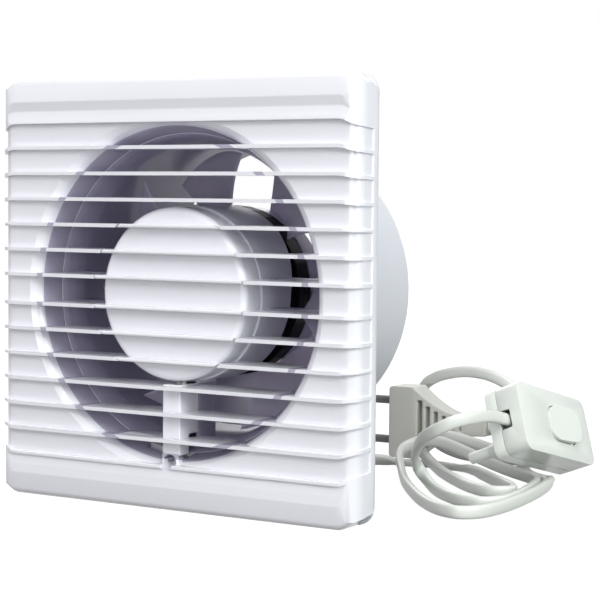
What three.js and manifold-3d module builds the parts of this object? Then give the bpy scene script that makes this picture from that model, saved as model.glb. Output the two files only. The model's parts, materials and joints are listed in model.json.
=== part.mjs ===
// Window exhaust fan with a louvred front grille, a round duct spigot, and a flat mains cord with an
// in-line rocker switch and a two-pin plug. Millimetres, +Z up. The fan stands on its lower edge, its front
// faces -Y, and the origin is under the middle of the fan on the surface that it stands on.
import * as THREE from "three";
import { mergeVertices } from "three/addons/utils/BufferGeometryUtils.js";
import Module from "manifold-3d";

const wasm = await Module();
wasm.setup();

// -------------------------------------------------- driving dimensions
const FACE_SIZE = 175; // width and height of the grille
const GRILLE_DEPTH = 17; // fins' front edges to the wall face
const SPIGOT_LENGTH = 73; // wall face to the open end
const SPIGOT_RADIUS = 62.5; // outside, for a 125 mm duct
const SPIGOT_WALL = 1.7;
const INLET_FLARE = 4; // the inlet's bell mouth is this much wider in radius than the spigot
const BASE_PLATE = 1.7; // thickness
const BASE_CORNER = 2; // radius of the base plate's corners
const FACE_CORNER = 7.5; // radius of the grille's upright corners
const PLATE_CORNER = 9.5; // the same on the recessed walls between the fins
const GAP = 0.3; // between pieces that touch

// grille
const BAND_HEIGHT = 18.6; // of the header and of the footer
const FIN_MIDDLE_GAP = 12.1; // the two fins next to the centre line stand further apart
const FIN_COUNT = 6; // in each half
const FIN_THICKNESS = 1.5;
const FIN_PROUD = 2.2; // fins stand this far in front of the face plate
const FIN_DEPTH = 18; // of the fins in the round opening
const FIN_DROOP = 5.5; // the topmost edge bends this far towards the middle at the face's sides
const DROOP_WIDTH = 8.5; // over which it does so
const PLATE_THICKNESS = 1.8;
const HOLE_MARGIN = 2.2; // from the round opening in the face plate to the header
const HOLE_FLARE = 5.3; // the opening is this much wider in radius at the plate's front
const SIDE_RECESS = 0.6; // side walls lie this far inside the fins' ends
const GRILLE_WALL = 1.8;
const RIM_DEPTH = 2.6; // full-width band along the back edge of the grille
const CREASE_RISE = 9.2; // the header's crease above its lower edge
const CREASE_DROP = 1.1; // how far the header leans back above its crease
const COVE = 0.9; // depth of the hollows under the header's crease and under the footer's edge

// hub and motor
const HUB_RADIUS = 35.2;
const HUB_FACE_SETBACK = 4; // hub disc behind the fins' front
const HUB_EDGE = 3.2; // rounding of the hub disc
const HUB_SKIRT_END = -2; // depth where the hub cover ends
const SLIT = 0.9; // cut between the grille's fins and the ribs on the hub
const RIB_OVERHANG = 1.1; // the ribs reach past the hub's side
const COVER_WALL = 1.6;
const MOTOR_RADIUS = 34.2; // steel can
const CRADLE_WALL = 1.6;
const CRADLE_END = 27; // depth of the motor ring's rear edge
const ARM_END = 15; // the same of the arms that carry it
const CAN_END = 37;
const CAN_WALL = 1;
const STATOR_RADIUS = 31;
const STATOR_START = 4;
const STATOR_STACK = 18;
const YOKE = 4.5;
const POLE_COUNT = 4;
const POLE_WIDTH = 9;
const COIL_WALL = 3.4;
const ROTOR_RADIUS = 15;
const AIR_GAP = 0.5;
const SHAFT_RADIUS = 2.5;
const RUNNING_GAP = 0.05;
const BEARING_RADIUS = 6;
const BEARING_LENGTH = 7;

// impeller
const BLADE_COUNT = 7;
const TIP_CLEARANCE = 2.2; // from the blades' tips to the spigot's inside
const IMPELLER_HUB_RADIUS = 35;
const IMPELLER_HUB_LENGTH = 12.5;
const HUB_FLOOR = 2.2; // thickness of the hub's closed rear
const BOSS_RADIUS = 6; // round the shaft, inside the hub
const BLADE_ROOT_RADIUS = 36.2;
const BLADE_THICKNESS = 1.5;

// terminal block, cord entry
const TERMINAL_SIZE = new THREE.Vector3(17, 8.2, 11);
const CORD_WIDTH = 5.4;
const CORD_THICKNESS = 3.4;
const RELIEF_LENGTH = 22;

// in-line switch
const SWITCH_LENGTH = 60;
const SWITCH_WIDTH = 31;
const SWITCH_HEIGHT = 16.5;
const SWITCH_SEAM = 5.5; // height of the seam between its shells
const SWITCH_WALL = 1.5;
const SWITCH_CORNER = 4.5;
const SWITCH_EDGE = 1.3; // bevel round both faces
const CORD_HOLE_WIDTH = 8.2;
const CORD_HOLE_HEIGHT = 5.4;
const ROCKER_LENGTH = 22;
const ROCKER_WIDTH = 16;
const ROCKER_CORNER = 6;
const ROCKER_OFFSET = 5.5; // from the switch's middle towards its far end
const ROCKER_RISE = 2.4; // above the switch's face
const ROCKER_DEPTH = 4; // below the switch's face
const ROCKER_ANGLE = 7; // degrees each way
const TRUNNION_RADIUS = 1.4;
const TRUNNION_DEPTH = 3.6; // below the switch's face

// two-pin plug
const PLUG_WIDTH = 34;
const PLUG_THICKNESS = 13.7;
const PLUG_HEAD = 13;
const PLUG_TAPER = 24;
const PLUG_NECK = 12.5;
const NECK_RADIUS = 4.9;
const PLUG_RIBS = 6;
const PLUG_WEB = 3.2; // between the grooves of the two sides
const PIN_SPACING = 19;
const PIN_RADIUS = 2;
const PIN_WAIST = 1.5; // under the sleeve
const PIN_LENGTH = 19;
const PIN_ROOT = 8; // inside the plug
const SLEEVE_LENGTH = 10;

// -------------------------------------------------- materials
const finish = (color, roughness, metalness) =>
  new THREE.MeshStandardMaterial({ color, roughness, metalness });
const plastic = (color, roughness = 0.25) => finish(color, roughness, 0);
const metal = (color, roughness = 0.4) => finish(color, roughness, 1);
const whiteGloss = plastic(0xe9ebf0);
const whiteSatin = plastic(0xdfe2e6, 0.4);
const offWhite = plastic(0xe3e6e0, 0.35);
const cordPlastic = plastic(0xd9dcd4, 0.5);
const plugGrey = plastic(0xa9a9a3, 0.5);
const sleeveGrey = plastic(0x6d6d6c, 0.45);
const blackPaint = plastic(0x101012, 0.4);
const steel = metal(0x8f9296);
const brass = metal(0xb9994f);
const copper = metal(0xb0643a);
const bronze = metal(0x8a6f47);
const zinc = metal(0xb8bcc0);

// -------------------------------------------------- helpers
const tau = Math.PI * 2;
const radians = (degrees) => (degrees * Math.PI) / 180;

// A closed geometry as a solid: vertices merged, slivers dropped, faces out.
function solid(geometry) {
  const bare = geometry.clone();
  for (const name of Object.keys(bare.attributes)) if (name !== "position") bare.deleteAttribute(name);
  const merged = mergeVertices(bare, 1e-4);
  const points = merged.attributes.position.array;
  const source = merged.index.array;
  const faces = [];
  let volume = 0;
  const a = new THREE.Vector3();
  const b = new THREE.Vector3();
  const c = new THREE.Vector3();
  for (let i = 0; i < source.length; i += 3) {
    const [p, q, r] = [source[i], source[i + 1], source[i + 2]];
    if (p === q || q === r || r === p) continue;
    faces.push(p, q, r);
    a.fromArray(points, p * 3);
    b.fromArray(points, q * 3);
    c.fromArray(points, r * 3);
    volume += a.dot(b.cross(c));
  }
  if (volume < 0) faces.reverse();
  const mesh = new wasm.Mesh({
    numProp: 3,
    vertProperties: new Float32Array(points),
    triVerts: new Uint32Array(faces),
  });
  mesh.merge();
  return new wasm.Manifold(mesh);
}

function geometryOf(body) {
  const mesh = body.getMesh();
  const geometry = new THREE.BufferGeometry();
  geometry.setAttribute("position", new THREE.BufferAttribute(new Float32Array(mesh.vertProperties), 3));
  geometry.setIndex(new THREE.BufferAttribute(new Uint32Array(mesh.triVerts), 1));
  geometry.computeVertexNormals();
  return geometry;
}

const joined = (...bodies) => bodies.reduce((all, body) => all.add(body));
const cut = (body, ...tools) => tools.reduce((rest, tool) => rest.subtract(tool), body);

// A box between two corners.
function block(x0, y0, z0, x1, y1, z1) {
  const geometry = new THREE.BoxGeometry(x1 - x0, y1 - y0, z1 - z0);
  return solid(geometry.translate((x0 + x1) / 2, (y0 + y1) / 2, (z0 + z1) / 2));
}

// A profile of [radius, depth] points turned round the fan's axis, which runs along Y.
function turned(profile, segments = 48) {
  const points = profile.map(([r, y]) => new THREE.Vector2(r, y));
  points.push(points[0].clone());
  return solid(new THREE.LatheGeometry(points, segments));
}

// A round bar or tube along Y.
function rod(radius, y0, y1, segments = 24) {
  return turned([[0, y0], [radius, y0], [radius, y1], [0, y1]], segments);
}
function tube(outer, inner, y0, y1, segments = 48) {
  return turned([[inner, y0], [outer, y0], [outer, y1], [inner, y1]], segments);
}

function roundedRectangle(width, height, radius) {
  const shape = new THREE.Shape();
  const [x, y] = [width / 2, height / 2];
  shape.moveTo(-x + radius, -y);
  shape.lineTo(x - radius, -y);
  shape.absarc(x - radius, -y + radius, radius, -Math.PI / 2, 0);
  shape.lineTo(x, y - radius);
  shape.absarc(x - radius, y - radius, radius, 0, Math.PI / 2);
  shape.lineTo(-x + radius, y);
  shape.absarc(-x + radius, y - radius, radius, Math.PI / 2, Math.PI);
  shape.lineTo(-x, -y + radius);
  shape.absarc(-x + radius, -y + radius, radius, Math.PI, Math.PI * 1.5);
  return shape;
}

// A shape drawn in X and Z, as thick as the step from y0 to y1.
function slab(shape, y0, y1, curveSegments = 4) {
  const geometry = new THREE.ExtrudeGeometry(shape, { depth: y1 - y0, bevelEnabled: false, curveSegments });
  return solid(geometry.rotateX(Math.PI / 2).translate(0, y1, 0));
}

// A shape drawn in X and Y, from the height z0 to z1.
function plate(shape, z0, z1, curveSegments = 3) {
  const geometry = new THREE.ExtrudeGeometry(shape, { depth: z1 - z0, bevelEnabled: false, curveSegments });
  return solid(geometry.translate(0, 0, z0));
}

function polygon(points) {
  return new THREE.Shape(points.map(([x, y]) => new THREE.Vector2(x, y)));
}

function named(name, body, material, parent) {
  const mesh = new THREE.Mesh(geometryOf(body), material);
  mesh.name = name;
  parent.add(mesh);
  return mesh;
}

// A pan-head screw whose head's underside is at the origin and whose shank runs along +Y.
function screw(shankRadius, shankLength, headRadius, headHeight) {
  const body = turned(
    [
      [0, -headHeight],
      [headRadius * 0.7, -headHeight],
      [headRadius, -headHeight * 0.45],
      [headRadius, 0],
      [shankRadius, 0],
      [shankRadius, shankLength - shankRadius],
      [shankRadius * 0.3, shankLength],
      [0, shankLength],
    ],
    10,
  );
  const slotWidth = shankRadius * 0.45;
  const slotDepth = headHeight * 0.5;
  const arm = headRadius * 0.62;
  const across = block(-arm, -headHeight - 1, -slotWidth / 2, arm, -headHeight + slotDepth, slotWidth / 2);
  return cut(body, across, across.rotate([0, 90, 0]));
}

// A path whose cross-section keeps its width upright, apart from a roll in degrees given for each point.
class RibbonPath extends THREE.CatmullRomCurve3 {
  constructor(points, rolls = points.map(() => 0)) {
    super(points, false, "centripetal");
    this.rolls = rolls;
  }
  rollAt(u) {
    const t = this.getUtoTmapping(u) * (this.rolls.length - 1);
    const i = Math.min(Math.floor(t), this.rolls.length - 2);
    const s = t - i;
    return this.rolls[i] + (this.rolls[i + 1] - this.rolls[i]) * s * s * (3 - 2 * s);
  }
  computeFrenetFrames(segments) {
    const frames = { tangents: [], normals: [], binormals: [] };
    const up = new THREE.Vector3(0, 0, 1);
    for (let i = 0; i <= segments; i++) {
      const u = i / segments;
      const tangent = this.getTangentAt(u);
      const side = new THREE.Vector3().crossVectors(tangent, up).normalize();
      const normal = new THREE.Vector3().crossVectors(side, tangent);
      normal.applyAxisAngle(tangent, radians(this.rollAt(u)));
      frames.tangents.push(tangent);
      frames.normals.push(normal);
      frames.binormals.push(new THREE.Vector3().crossVectors(tangent, normal));
    }
    return frames;
  }
}

// The cord's flat section, eight-sided: its width lies along the path's normal.
function cordSection(width, thickness) {
  const [w, t] = [width / 2, thickness / 2];
  return polygon([
    [-w, -t * 0.45], [-w * 0.62, -t], [w * 0.62, -t], [w, -t * 0.45],
    [w, t * 0.45], [w * 0.62, t], [-w * 0.62, t], [-w, t * 0.45],
  ]);
}

function cord(path, steps, width = CORD_WIDTH, thickness = CORD_THICKNESS) {
  const settings = { steps, extrudePath: path, bevelEnabled: false };
  return solid(new THREE.ExtrudeGeometry(cordSection(width, thickness), settings));
}

// -------------------------------------------------- the fan's own frame
// Its origin is on the fan's axis, in the wall face: -Y is towards the room, +Y into the duct.
const halfFace = FACE_SIZE / 2;
const object = new THREE.Group();
const fan = new THREE.Group();
fan.position.set(0, (GRILLE_DEPTH - SPIGOT_LENGTH) / 2, halfFace);
object.add(fan);

const front = -GRILLE_DEPTH;
const plateFront = front + FIN_PROUD;
const baseFront = -BASE_PLATE;
const grilleBack = baseFront - GAP;
const rimFront = grilleBack - RIM_DEPTH;
const seatDepth = grilleBack - 5.2; // of the grille screw's head
const bandEdge = halfFace - BAND_HEIGHT; // where the header and the footer start
const finPitch = (bandEdge + FIN_THICKNESS / 2 - FIN_MIDDLE_GAP / 2) / FIN_COUNT;
const finHeight = (k) => FIN_MIDDLE_GAP / 2 + k * finPitch;
const holeRadius = bandEdge - HOLE_MARGIN;
const spigotInner = SPIGOT_RADIUS - SPIGOT_WALL;
const inletRadius = spigotInner + INLET_FLARE;
const impellerRadius = spigotInner - TIP_CLEARANCE;
const cutRadius = HUB_RADIUS + RIB_OVERHANG + SLIT;
const channelWidth = 8.6;
const channelFront = front + HUB_FACE_SETBACK;
const screwHeight = -holeRadius - 1.2;
const grilleScrewHead = 2.5;
const terminalX = -10;
const clampX = 9;

// The outline of the face seen from above: rounded at the two front corners, open towards the wall.
function faceOutline(inset, frontAt, backAt, corner) {
  const x = halfFace - inset;
  const shape = new THREE.Shape();
  shape.moveTo(-x, backAt);
  shape.lineTo(-x, frontAt + corner);
  shape.absarc(-x + corner, frontAt + corner, corner, Math.PI, Math.PI * 1.5);
  shape.lineTo(x - corner, frontAt);
  shape.absarc(x - corner, frontAt + corner, corner, -Math.PI / 2, 0);
  shape.lineTo(x, backAt);
  return shape;
}

// -------------------------------------------------- front grille
// Side views as [depth, distance from the middle]. The header has a hollow under its crease and leans back
// above it; the footer has the same crease, and its hollow lies under the edge next to the fins.
function bandSection(hollow) {
  const top = halfFace;
  const round = 3;
  const crease = bandEdge + CREASE_RISE;
  const lean = front + CREASE_DROP;
  return [
    [front, bandEdge],
    ...hollow.map(([depth, height]) => [front + depth * COVE, bandEdge + height * CREASE_RISE]),
    [front, crease],
    [lean, top - round],
    [lean + round * 0.35, top - round * 0.35],
    [lean + round, top],
    [grilleBack, top],
    [grilleBack, bandEdge],
  ];
}

function sideExtrusion(points, halfWidth) {
  // a [depth, height] outline drawn along X
  const geometry = new THREE.ExtrudeGeometry(polygon(points), { depth: halfWidth * 2, bevelEnabled: false });
  const turn = new THREE.Matrix4().makeBasis(
    new THREE.Vector3(0, 1, 0),
    new THREE.Vector3(0, 0, 1),
    new THREE.Vector3(1, 0, 0),
  );
  return solid(geometry.applyMatrix4(turn).translate(-halfWidth, 0, 0));
}

// The grille's edges bend towards the middle at the face's sides, most at its top and bottom.
function drooped(body) {
  const start = halfFace - DROOP_WIDTH;
  const smooth = (v) => v * v * (3 - 2 * v);
  const bent = (side) => side.warp((v) => {
    const aside = smooth(THREE.MathUtils.clamp((Math.abs(v[0]) - start) / DROOP_WIDTH, 0, 1));
    const deep = 0.65 + 0.35 * THREE.MathUtils.clamp((v[1] - front) / 14, 0, 1);
    v[2] -= Math.sign(v[2]) * FIN_DROOP * (v[2] / halfFace) ** 2 * aside * deep;
  });
  const [right, rest] = body.splitByPlane([1, 0, 0], start);
  const [left, middle] = rest.splitByPlane([-1, 0, 0], start);
  return joined(middle, bent(right), bent(left));
}

function buildGrille() {
  const corner = FACE_CORNER;
  const faceBlock = plate(faceOutline(0, front, grilleBack, corner), -halfFace, halfFace);
  const headerSection = bandSection([[0.1, 0.09], [0.6, 0.4], [1, 0.67], [0.9, 0.89]]);
  const footerSection = bandSection([[0, 0.16], [1.1, 0.17], [0.9, 0.32], [0.4, 0.6]]);
  const header = sideExtrusion(headerSection, halfFace).intersect(faceBlock);
  const footer = sideExtrusion(footerSection, halfFace).intersect(faceBlock).mirror([0, 0, 1]);
  const headerHollow = block(
    -halfFace + GRILLE_WALL + SIDE_RECESS, front + GRILLE_WALL + CREASE_DROP, bandEdge + GRILLE_WALL,
    halfFace - GRILLE_WALL - SIDE_RECESS, grilleBack + 1, halfFace - GRILLE_WALL - 1,
  ).subtract(cornerFill());

  const rim = plate(faceOutline(0, rimFront, grilleBack, 0.5), -halfFace, halfFace);
  const wallOutline = faceOutline(SIDE_RECESS, plateFront, rimFront + 0.5, PLATE_CORNER);
  const walls = plate(wallOutline, -bandEdge - 1, bandEdge + 1);
  const inside = block(
    -halfFace + SIDE_RECESS + GRILLE_WALL, plateFront + PLATE_THICKNESS, -bandEdge - GRILLE_WALL,
    halfFace - SIDE_RECESS - GRILLE_WALL, grilleBack + 1, bandEdge + GRILLE_WALL,
  ).subtract(cornerFill());
  // the round opening is a bell mouth
  const flare = HOLE_FLARE;
  const mouth = turned([
    [0, front - 5],
    [holeRadius + flare, front - 5],
    [holeRadius + flare, plateFront],
    [holeRadius + flare * 0.81, plateFront + 0.5],
    [holeRadius + flare * 0.51, plateFront + 1.5],
    [holeRadius + flare * 0.3, plateFront + 3],
    [holeRadius + flare * 0.13, plateFront + 5],
    [holeRadius - 1.5, grilleBack],
    [holeRadius - 1.5, 5],
    [0, 5],
  ], 44);
  const collar = turned([
    [holeRadius - 3, plateFront + 0.2],
    [holeRadius + flare + 1.5, plateFront + 0.2],
    [holeRadius + flare + 1.2, plateFront + PLATE_THICKNESS],
    [holeRadius + flare * 0.8, plateFront + 2.5],
    [holeRadius + flare * 0.45, plateFront + 5.2],
    [holeRadius + 0.2, grilleBack],
    [holeRadius - 3, grilleBack],
  ], 44);
  const shell = cut(joined(cut(joined(walls, rim), inside), collar), mouth);

  // fins: short ribs over the face plate and deep louvre blades across the opening, cut away round the hub
  const bladeBack = front + FIN_DEPTH;
  const reach = holeRadius + flare + 0.6;
  const throat = turned([
    [0, front - 1],
    [reach, front - 1],
    [reach, plateFront + 0.6],
    [holeRadius + flare * 0.4, plateFront + 2.6],
    [holeRadius - 0.6, grilleBack - 0.5],
    [inletRadius - 2, grilleBack - 0.5],
    [inletRadius - 2.5, bladeBack + 1],
    [0, bladeBack + 1],
  ], 32);
  const hubSpace = rod(cutRadius, front - 1, bladeBack + 2, 36);
  const channelSpace = block(
    -channelWidth / 2 - GAP, channelFront - GAP, -holeRadius - 3,
    channelWidth / 2 + GAP, bladeBack + 2, 0,
  );
  const half = FIN_THICKNESS / 2;
  const fins = [];
  for (let k = 0; k < FIN_COUNT; k++) {
    for (const z of [finHeight(k), -finHeight(k)]) {
      const outer = plate(faceOutline(0, front, rimFront + 0.5, corner), z - half, z + half);
      const back = plate(faceOutline(SIDE_RECESS + 1, plateFront + 1, 20, PLATE_CORNER), z - 2, z + 2);
      const rib = cut(outer, back);
      const deep = block(-reach, plateFront + 0.5, z - half, reach, bladeBack, z + half);
      fins.push(cut(rib.add(deep.intersect(throat)), hubSpace, channelSpace));
    }
  }
  const boss = block(-4, plateFront + 1, screwHeight - 4, 4, grilleBack - 0.4, screwHeight + 3.4);
  const pocket = rod(3.1, -30, seatDepth, 16).translate([0, 0, screwHeight]);
  const shankHole = rod(1.7, -30, 30, 16).translate([0, 0, screwHeight]);
  const bottomRoom = block(-channelWidth / 2 - GAP, channelFront - GAP, -holeRadius - 0.2,
    channelWidth / 2 + GAP, grilleBack + 1, -holeRadius + 8);
  const hollowed = cut(joined(shell, header, footer), headerHollow, headerHollow.mirror([0, 0, 1]));
  const leadPassage = block(terminalX - 8, seatDepth + 1.7, -bandEdge - GRILLE_WALL - 1,
    terminalX + 6.6, grilleBack + 1, -bandEdge + 6);
  return drooped(cut(joined(hollowed, ...fins, boss), pocket, shankHole, bottomRoom, leadPassage));
}

// What the rounded front corners need left in the hollows behind the face, at both sides.
function cornerFill() {
  const wall = PLATE_CORNER * 0.3 + GRILLE_WALL;
  const x = halfFace - SIDE_RECESS;
  const outline = [[x - wall - 4, plateFront - 3], [x, plateFront - 3], [x, plateFront + wall + 4]];
  const fill = plate(polygon(outline), -halfFace, halfFace);
  return fill.add(fill.mirror([1, 0, 0]));
}
named("front_grille", buildGrille(), whiteGloss, fan);

// -------------------------------------------------- hub cover with ribs that carry on the fins
function buildHubCover() {
  const face = front + HUB_FACE_SETBACK;
  const e = HUB_EDGE;
  const outer = [[0, face], [HUB_RADIUS - e * 1.6, face]];
  for (let i = 1; i <= 4; i++) {
    const a = (i / 4) * (Math.PI / 2);
    outer.push([HUB_RADIUS - e + e * Math.sin(a), face + e - e * Math.cos(a)]);
  }
  const inner = HUB_RADIUS - COVER_WALL;
  const shell = turned([
    ...outer,
    [HUB_RADIUS, HUB_SKIRT_END],
    [inner, HUB_SKIRT_END],
    [inner, face + COVER_WALL + 1],
    [inner - 1.5, face + COVER_WALL],
    [0, face + COVER_WALL],
  ], 48);
  const reach = rod(HUB_RADIUS + RIB_OVERHANG, front - 1, front + HUB_FACE_SETBACK + HUB_EDGE, 48);
  const half = FIN_THICKNESS / 2;
  const ribs = [];
  for (let k = 0; k < FIN_COUNT; k++) {
    if (finHeight(k) > HUB_RADIUS - 3) continue;
    for (const z of [finHeight(k), -finHeight(k)]) {
      const x = HUB_RADIUS + 5;
      ribs.push(block(-x, front, z - half, x, face + 1, z + half).intersect(reach));
    }
  }
  const leadNotch = block(-3.4, -8, -HUB_RADIUS - 2, 3.4, HUB_SKIRT_END + 2, -HUB_RADIUS + 4);
  const clips = [];
  for (let i = 0; i < 3; i++) {
    const clip = block(-3, -6, 29.6, 3, HUB_SKIRT_END + 0.5, 34.4);
    clips.push(clip.intersect(rod(inner + 0.5, -10, 0, 48)).rotate([0, 120 * i, 0]));
  }
  return cut(joined(shell, ...ribs, ...clips), leadNotch);
}
named("hub_cover", buildHubCover(), whiteGloss, fan);

// -------------------------------------------------- rear housing: base plate, spigot, motor ring
const cradleOuter = MOTOR_RADIUS + GAP + CRADLE_WALL;
const cradleInner = MOTOR_RADIUS + GAP;
const exitX = 26; // where the cord passes the base plate
const exitZ = -halfFace + 10;
const reliefFlange = 5.4;
const armHeight = finHeight(0);
const mountSpacing = 140; // screw holes in the base plate
const blockBack = baseFront - GAP;
const tailDepth = blockBack - 4.1; // the cord's middle as it runs behind the footer
const clampBack = tailDepth - CORD_THICKNESS / 2 - GAP;
const clampPost = 1.8; // radius of the posts that the clamp is screwed to
const clampScrewZ = CORD_WIDTH / 2 + clampPost + 0.1;

function buildRearHousing() {
  const plateSize = FACE_SIZE - 0.8;
  const base = slab(roundedRectangle(plateSize, plateSize, BASE_CORNER), baseFront, 0);
  // the spigot opens towards the grille in a bell mouth
  const bore = turned([
    [0, -5],
    [inletRadius, -5],
    [inletRadius, baseFront],
    [inletRadius - INLET_FLARE * 0.28, 0],
    [inletRadius - INLET_FLARE * 0.7, 4],
    [spigotInner, 8],
    [spigotInner, SPIGOT_LENGTH + 1],
    [0, SPIGOT_LENGTH + 1],
  ], 48);
  const spigot = turned([
    [spigotInner - 2, baseFront],
    [SPIGOT_RADIUS + INLET_FLARE, baseFront],
    [SPIGOT_RADIUS + INLET_FLARE, 0],
    [SPIGOT_RADIUS + INLET_FLARE * 0.6, 3],
    [SPIGOT_RADIUS + INLET_FLARE * 0.2, 7],
    [SPIGOT_RADIUS, 10],
    [SPIGOT_RADIUS, SPIGOT_LENGTH - 1.2],
    [SPIGOT_RADIUS - 0.6, SPIGOT_LENGTH],
    [spigotInner - 2, SPIGOT_LENGTH],
  ], 48);
  const motorRing = tube(cradleOuter, cradleInner, HUB_SKIRT_END + GAP, CRADLE_END, 40);
  // the arms end inside the spigot's wall
  const within = turned([
    [0, 0],
    [inletRadius - INLET_FLARE * 0.28 + 0.8, 0],
    [inletRadius - INLET_FLARE * 0.7 + 0.8, 4],
    [spigotInner + 0.8, 8],
    [spigotInner + 0.8, 30],
    [0, 30],
  ], 48);
  const arms = [];
  for (const side of [-1, 1]) {
    const x0 = side * (Math.sqrt(cradleOuter ** 2 - armHeight ** 2) - 0.8);
    const xs = [x0, side * 80].sort((m, n) => m - n);
    for (const z of [armHeight, -armHeight]) arms.push(block(xs[0], 2.5, z - 1, xs[1], ARM_END, z + 1));
  }
  arms.push(cut(
    block(-channelWidth / 2, 0.5, -80, channelWidth / 2, ARM_END - 2, -cradleOuter + 0.8),
    block(-channelWidth / 2 + 1.4, -1, -80, channelWidth / 2 - 1.4, ARM_END - 4, 0),
  ));
  const posts = [-1, 1].map((side) =>
    rod(clampPost, clampBack + GAP, baseFront + 0.5, 16).translate([clampX, 0, exitZ + side * clampScrewZ]));
  const inner = arms.map((arm) => arm.intersect(within));
  const body = joined(cut(joined(base, spigot), bore), motorRing, ...inner, ...posts);
  const tools = [];
  for (const x of [-1, 1]) {
    for (const z of [-1, 1]) {
      tools.push(rod(2.3, -5, 5, 16).translate([(x * mountSpacing) / 2, 0, (z * mountSpacing) / 2]));
    }
  }
  tools.push(rod(reliefFlange - 1.4 + GAP, -5, 5, 20).translate([exitX, 0, exitZ]));
  tools.push(rod(1.55, -5, 5, 16).translate([0, 0, screwHeight]));
  for (const side of [-1, 1]) {
    const pilot = rod(1.1, clampBack - 1, baseFront + 0.2, 12);
    tools.push(pilot.translate([clampX, 0, exitZ + side * clampScrewZ]));
  }
  // cooling slots in the upper side of the motor ring
  for (let i = -2; i <= 2; i++) {
    const slot = block(-2.4, 3.5, 28, 2.4, ARM_END - 1.5, 40);
    tools.push(slot.rotate([0, 22 * i, 0]));
  }
  return cut(body, ...tools);
}
named("rear_housing", buildRearHousing(), whiteGloss, fan);

// -------------------------------------------------- cable channel in front of the lower arm
function buildChannel() {
  const top = -HUB_RADIUS - RIB_OVERHANG - GAP;
  const bottom = screwHeight + grilleScrewHead + GAP;
  const back = 0.5 - GAP;
  const w = channelWidth / 2;
  const outer = block(-w, channelFront, bottom, w, back, top);
  const hollow = block(-w + 1.2, channelFront + 1.2, bottom - 1, w - 1.2, back + 1, top + 1);
  const foot = block(-w, channelFront, bottom, w, seatDepth - 0.4, bottom + 1.4);
  const shallowTop = Math.max(-holeRadius + 10, -spigotInner + 4.1); // the leads leave the channel below it
  const shallow = block(-w - 1, seatDepth + 0.6, -holeRadius - 5, w + 1, 5, shallowTop);
  return cut(cut(outer, hollow).add(foot), shallow);
}
named("cable_channel", buildChannel(), whiteGloss, fan);

// -------------------------------------------------- motor
const stack0 = STATOR_START;
const stack1 = STATOR_START + STATOR_STACK;
const frontPlate0 = HUB_SKIRT_END + GAP + 1;
const canFront = CRADLE_END + GAP;

// Three long screws hold the motor's end plates together, between its coils.
const boltRadius = STATOR_RADIUS - 7;
const boltTurns = [45, 135, 225];
const aroundMotor = (body, degrees) => body.translate([0, 0, boltRadius]).rotate([0, degrees, 0]);
const pillarFront = stack1 + 1;
const boltLength = pillarFront + 5 - frontPlate0;

function buildCan() {
  // cup over the rear of the motor: a spigot inside the ring, then the visible black can
  const body = turned([
    [0, CAN_END - 1.6],
    [MOTOR_RADIUS - CAN_WALL - 1.5, CAN_END - 1.6],
    [MOTOR_RADIUS - CAN_WALL - 1.5, canFront - 8],
    [MOTOR_RADIUS - 0.4, canFront - 8],
    [MOTOR_RADIUS - 0.4, canFront],
    [cradleOuter - 0.2, canFront],
    [cradleOuter - 0.2, CAN_END - 1.4],
    [cradleOuter - 1.6, CAN_END],
    [0, CAN_END],
  ], 36);
  const seatInner = BEARING_RADIUS + RUNNING_GAP;
  const seat = tube(BEARING_RADIUS + 2, seatInner, CAN_END - BEARING_LENGTH - 1, CAN_END, 24);
  const bore = rod(seatInner, CAN_END - 12, CAN_END + 1, 24);
  const pillars = boltTurns.map((turn) => aroundMotor(
    cut(rod(2.9, pillarFront, CAN_END - 1, 10), rod(1.6, pillarFront - 1, pillarFront + 6.5, 10)), turn));
  return joined(cut(body, bore), seat, ...pillars);
}
named("motor_can", buildCan(), blackPaint, fan);

function buildMotorFrontPlate() {
  const disc = turned([
    [0, frontPlate0],
    [MOTOR_RADIUS - 0.2, frontPlate0],
    [MOTOR_RADIUS - 0.2, stack0 - 1],
    [MOTOR_RADIUS - 2.4, stack0 - 1],
    [MOTOR_RADIUS - 2.4, frontPlate0 + 1.4],
    [BEARING_RADIUS + 2, frontPlate0 + 1.4],
    [BEARING_RADIUS + 2, frontPlate0 + BEARING_LENGTH - 4.5],
    [0, frontPlate0 + BEARING_LENGTH - 4.5],
  ], 28);
  const holes = boltTurns.map((turn) => aroundMotor(rod(1.75, -20, 20, 12), turn));
  return cut(disc, rod(BEARING_RADIUS + RUNNING_GAP, -20, 20, 24), leadWindow(), ...holes);
}
function leadWindow() {
  return block(-3.2, -20, -MOTOR_RADIUS - 1, 3.2, stack0 + 0.5, -MOTOR_RADIUS + 7);
}
named("motor_front_plate", buildMotorFrontPlate(), zinc, fan);

function buildStator() {
  const yoke = tube(STATOR_RADIUS, STATOR_RADIUS - YOKE, stack0, stack1, 36);
  const inner = ROTOR_RADIUS + AIR_GAP;
  const poles = [];
  for (let i = 0; i < POLE_COUNT; i++) {
    const pole = block(-POLE_WIDTH / 2, stack0, inner - 2, POLE_WIDTH / 2, stack1, STATOR_RADIUS - 1);
    const shoe = block(-POLE_WIDTH * 0.85, stack0, inner - 4, POLE_WIDTH * 0.85, stack1, inner + 1.6);
    poles.push(pole.add(shoe).rotate([0, (360 / POLE_COUNT) * i, 0]));
  }
  return cut(joined(yoke, ...poles), rod(inner, stack0 - 1, stack1 + 1, 36));
}
named("stator_core", buildStator(), steel, fan);

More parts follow.
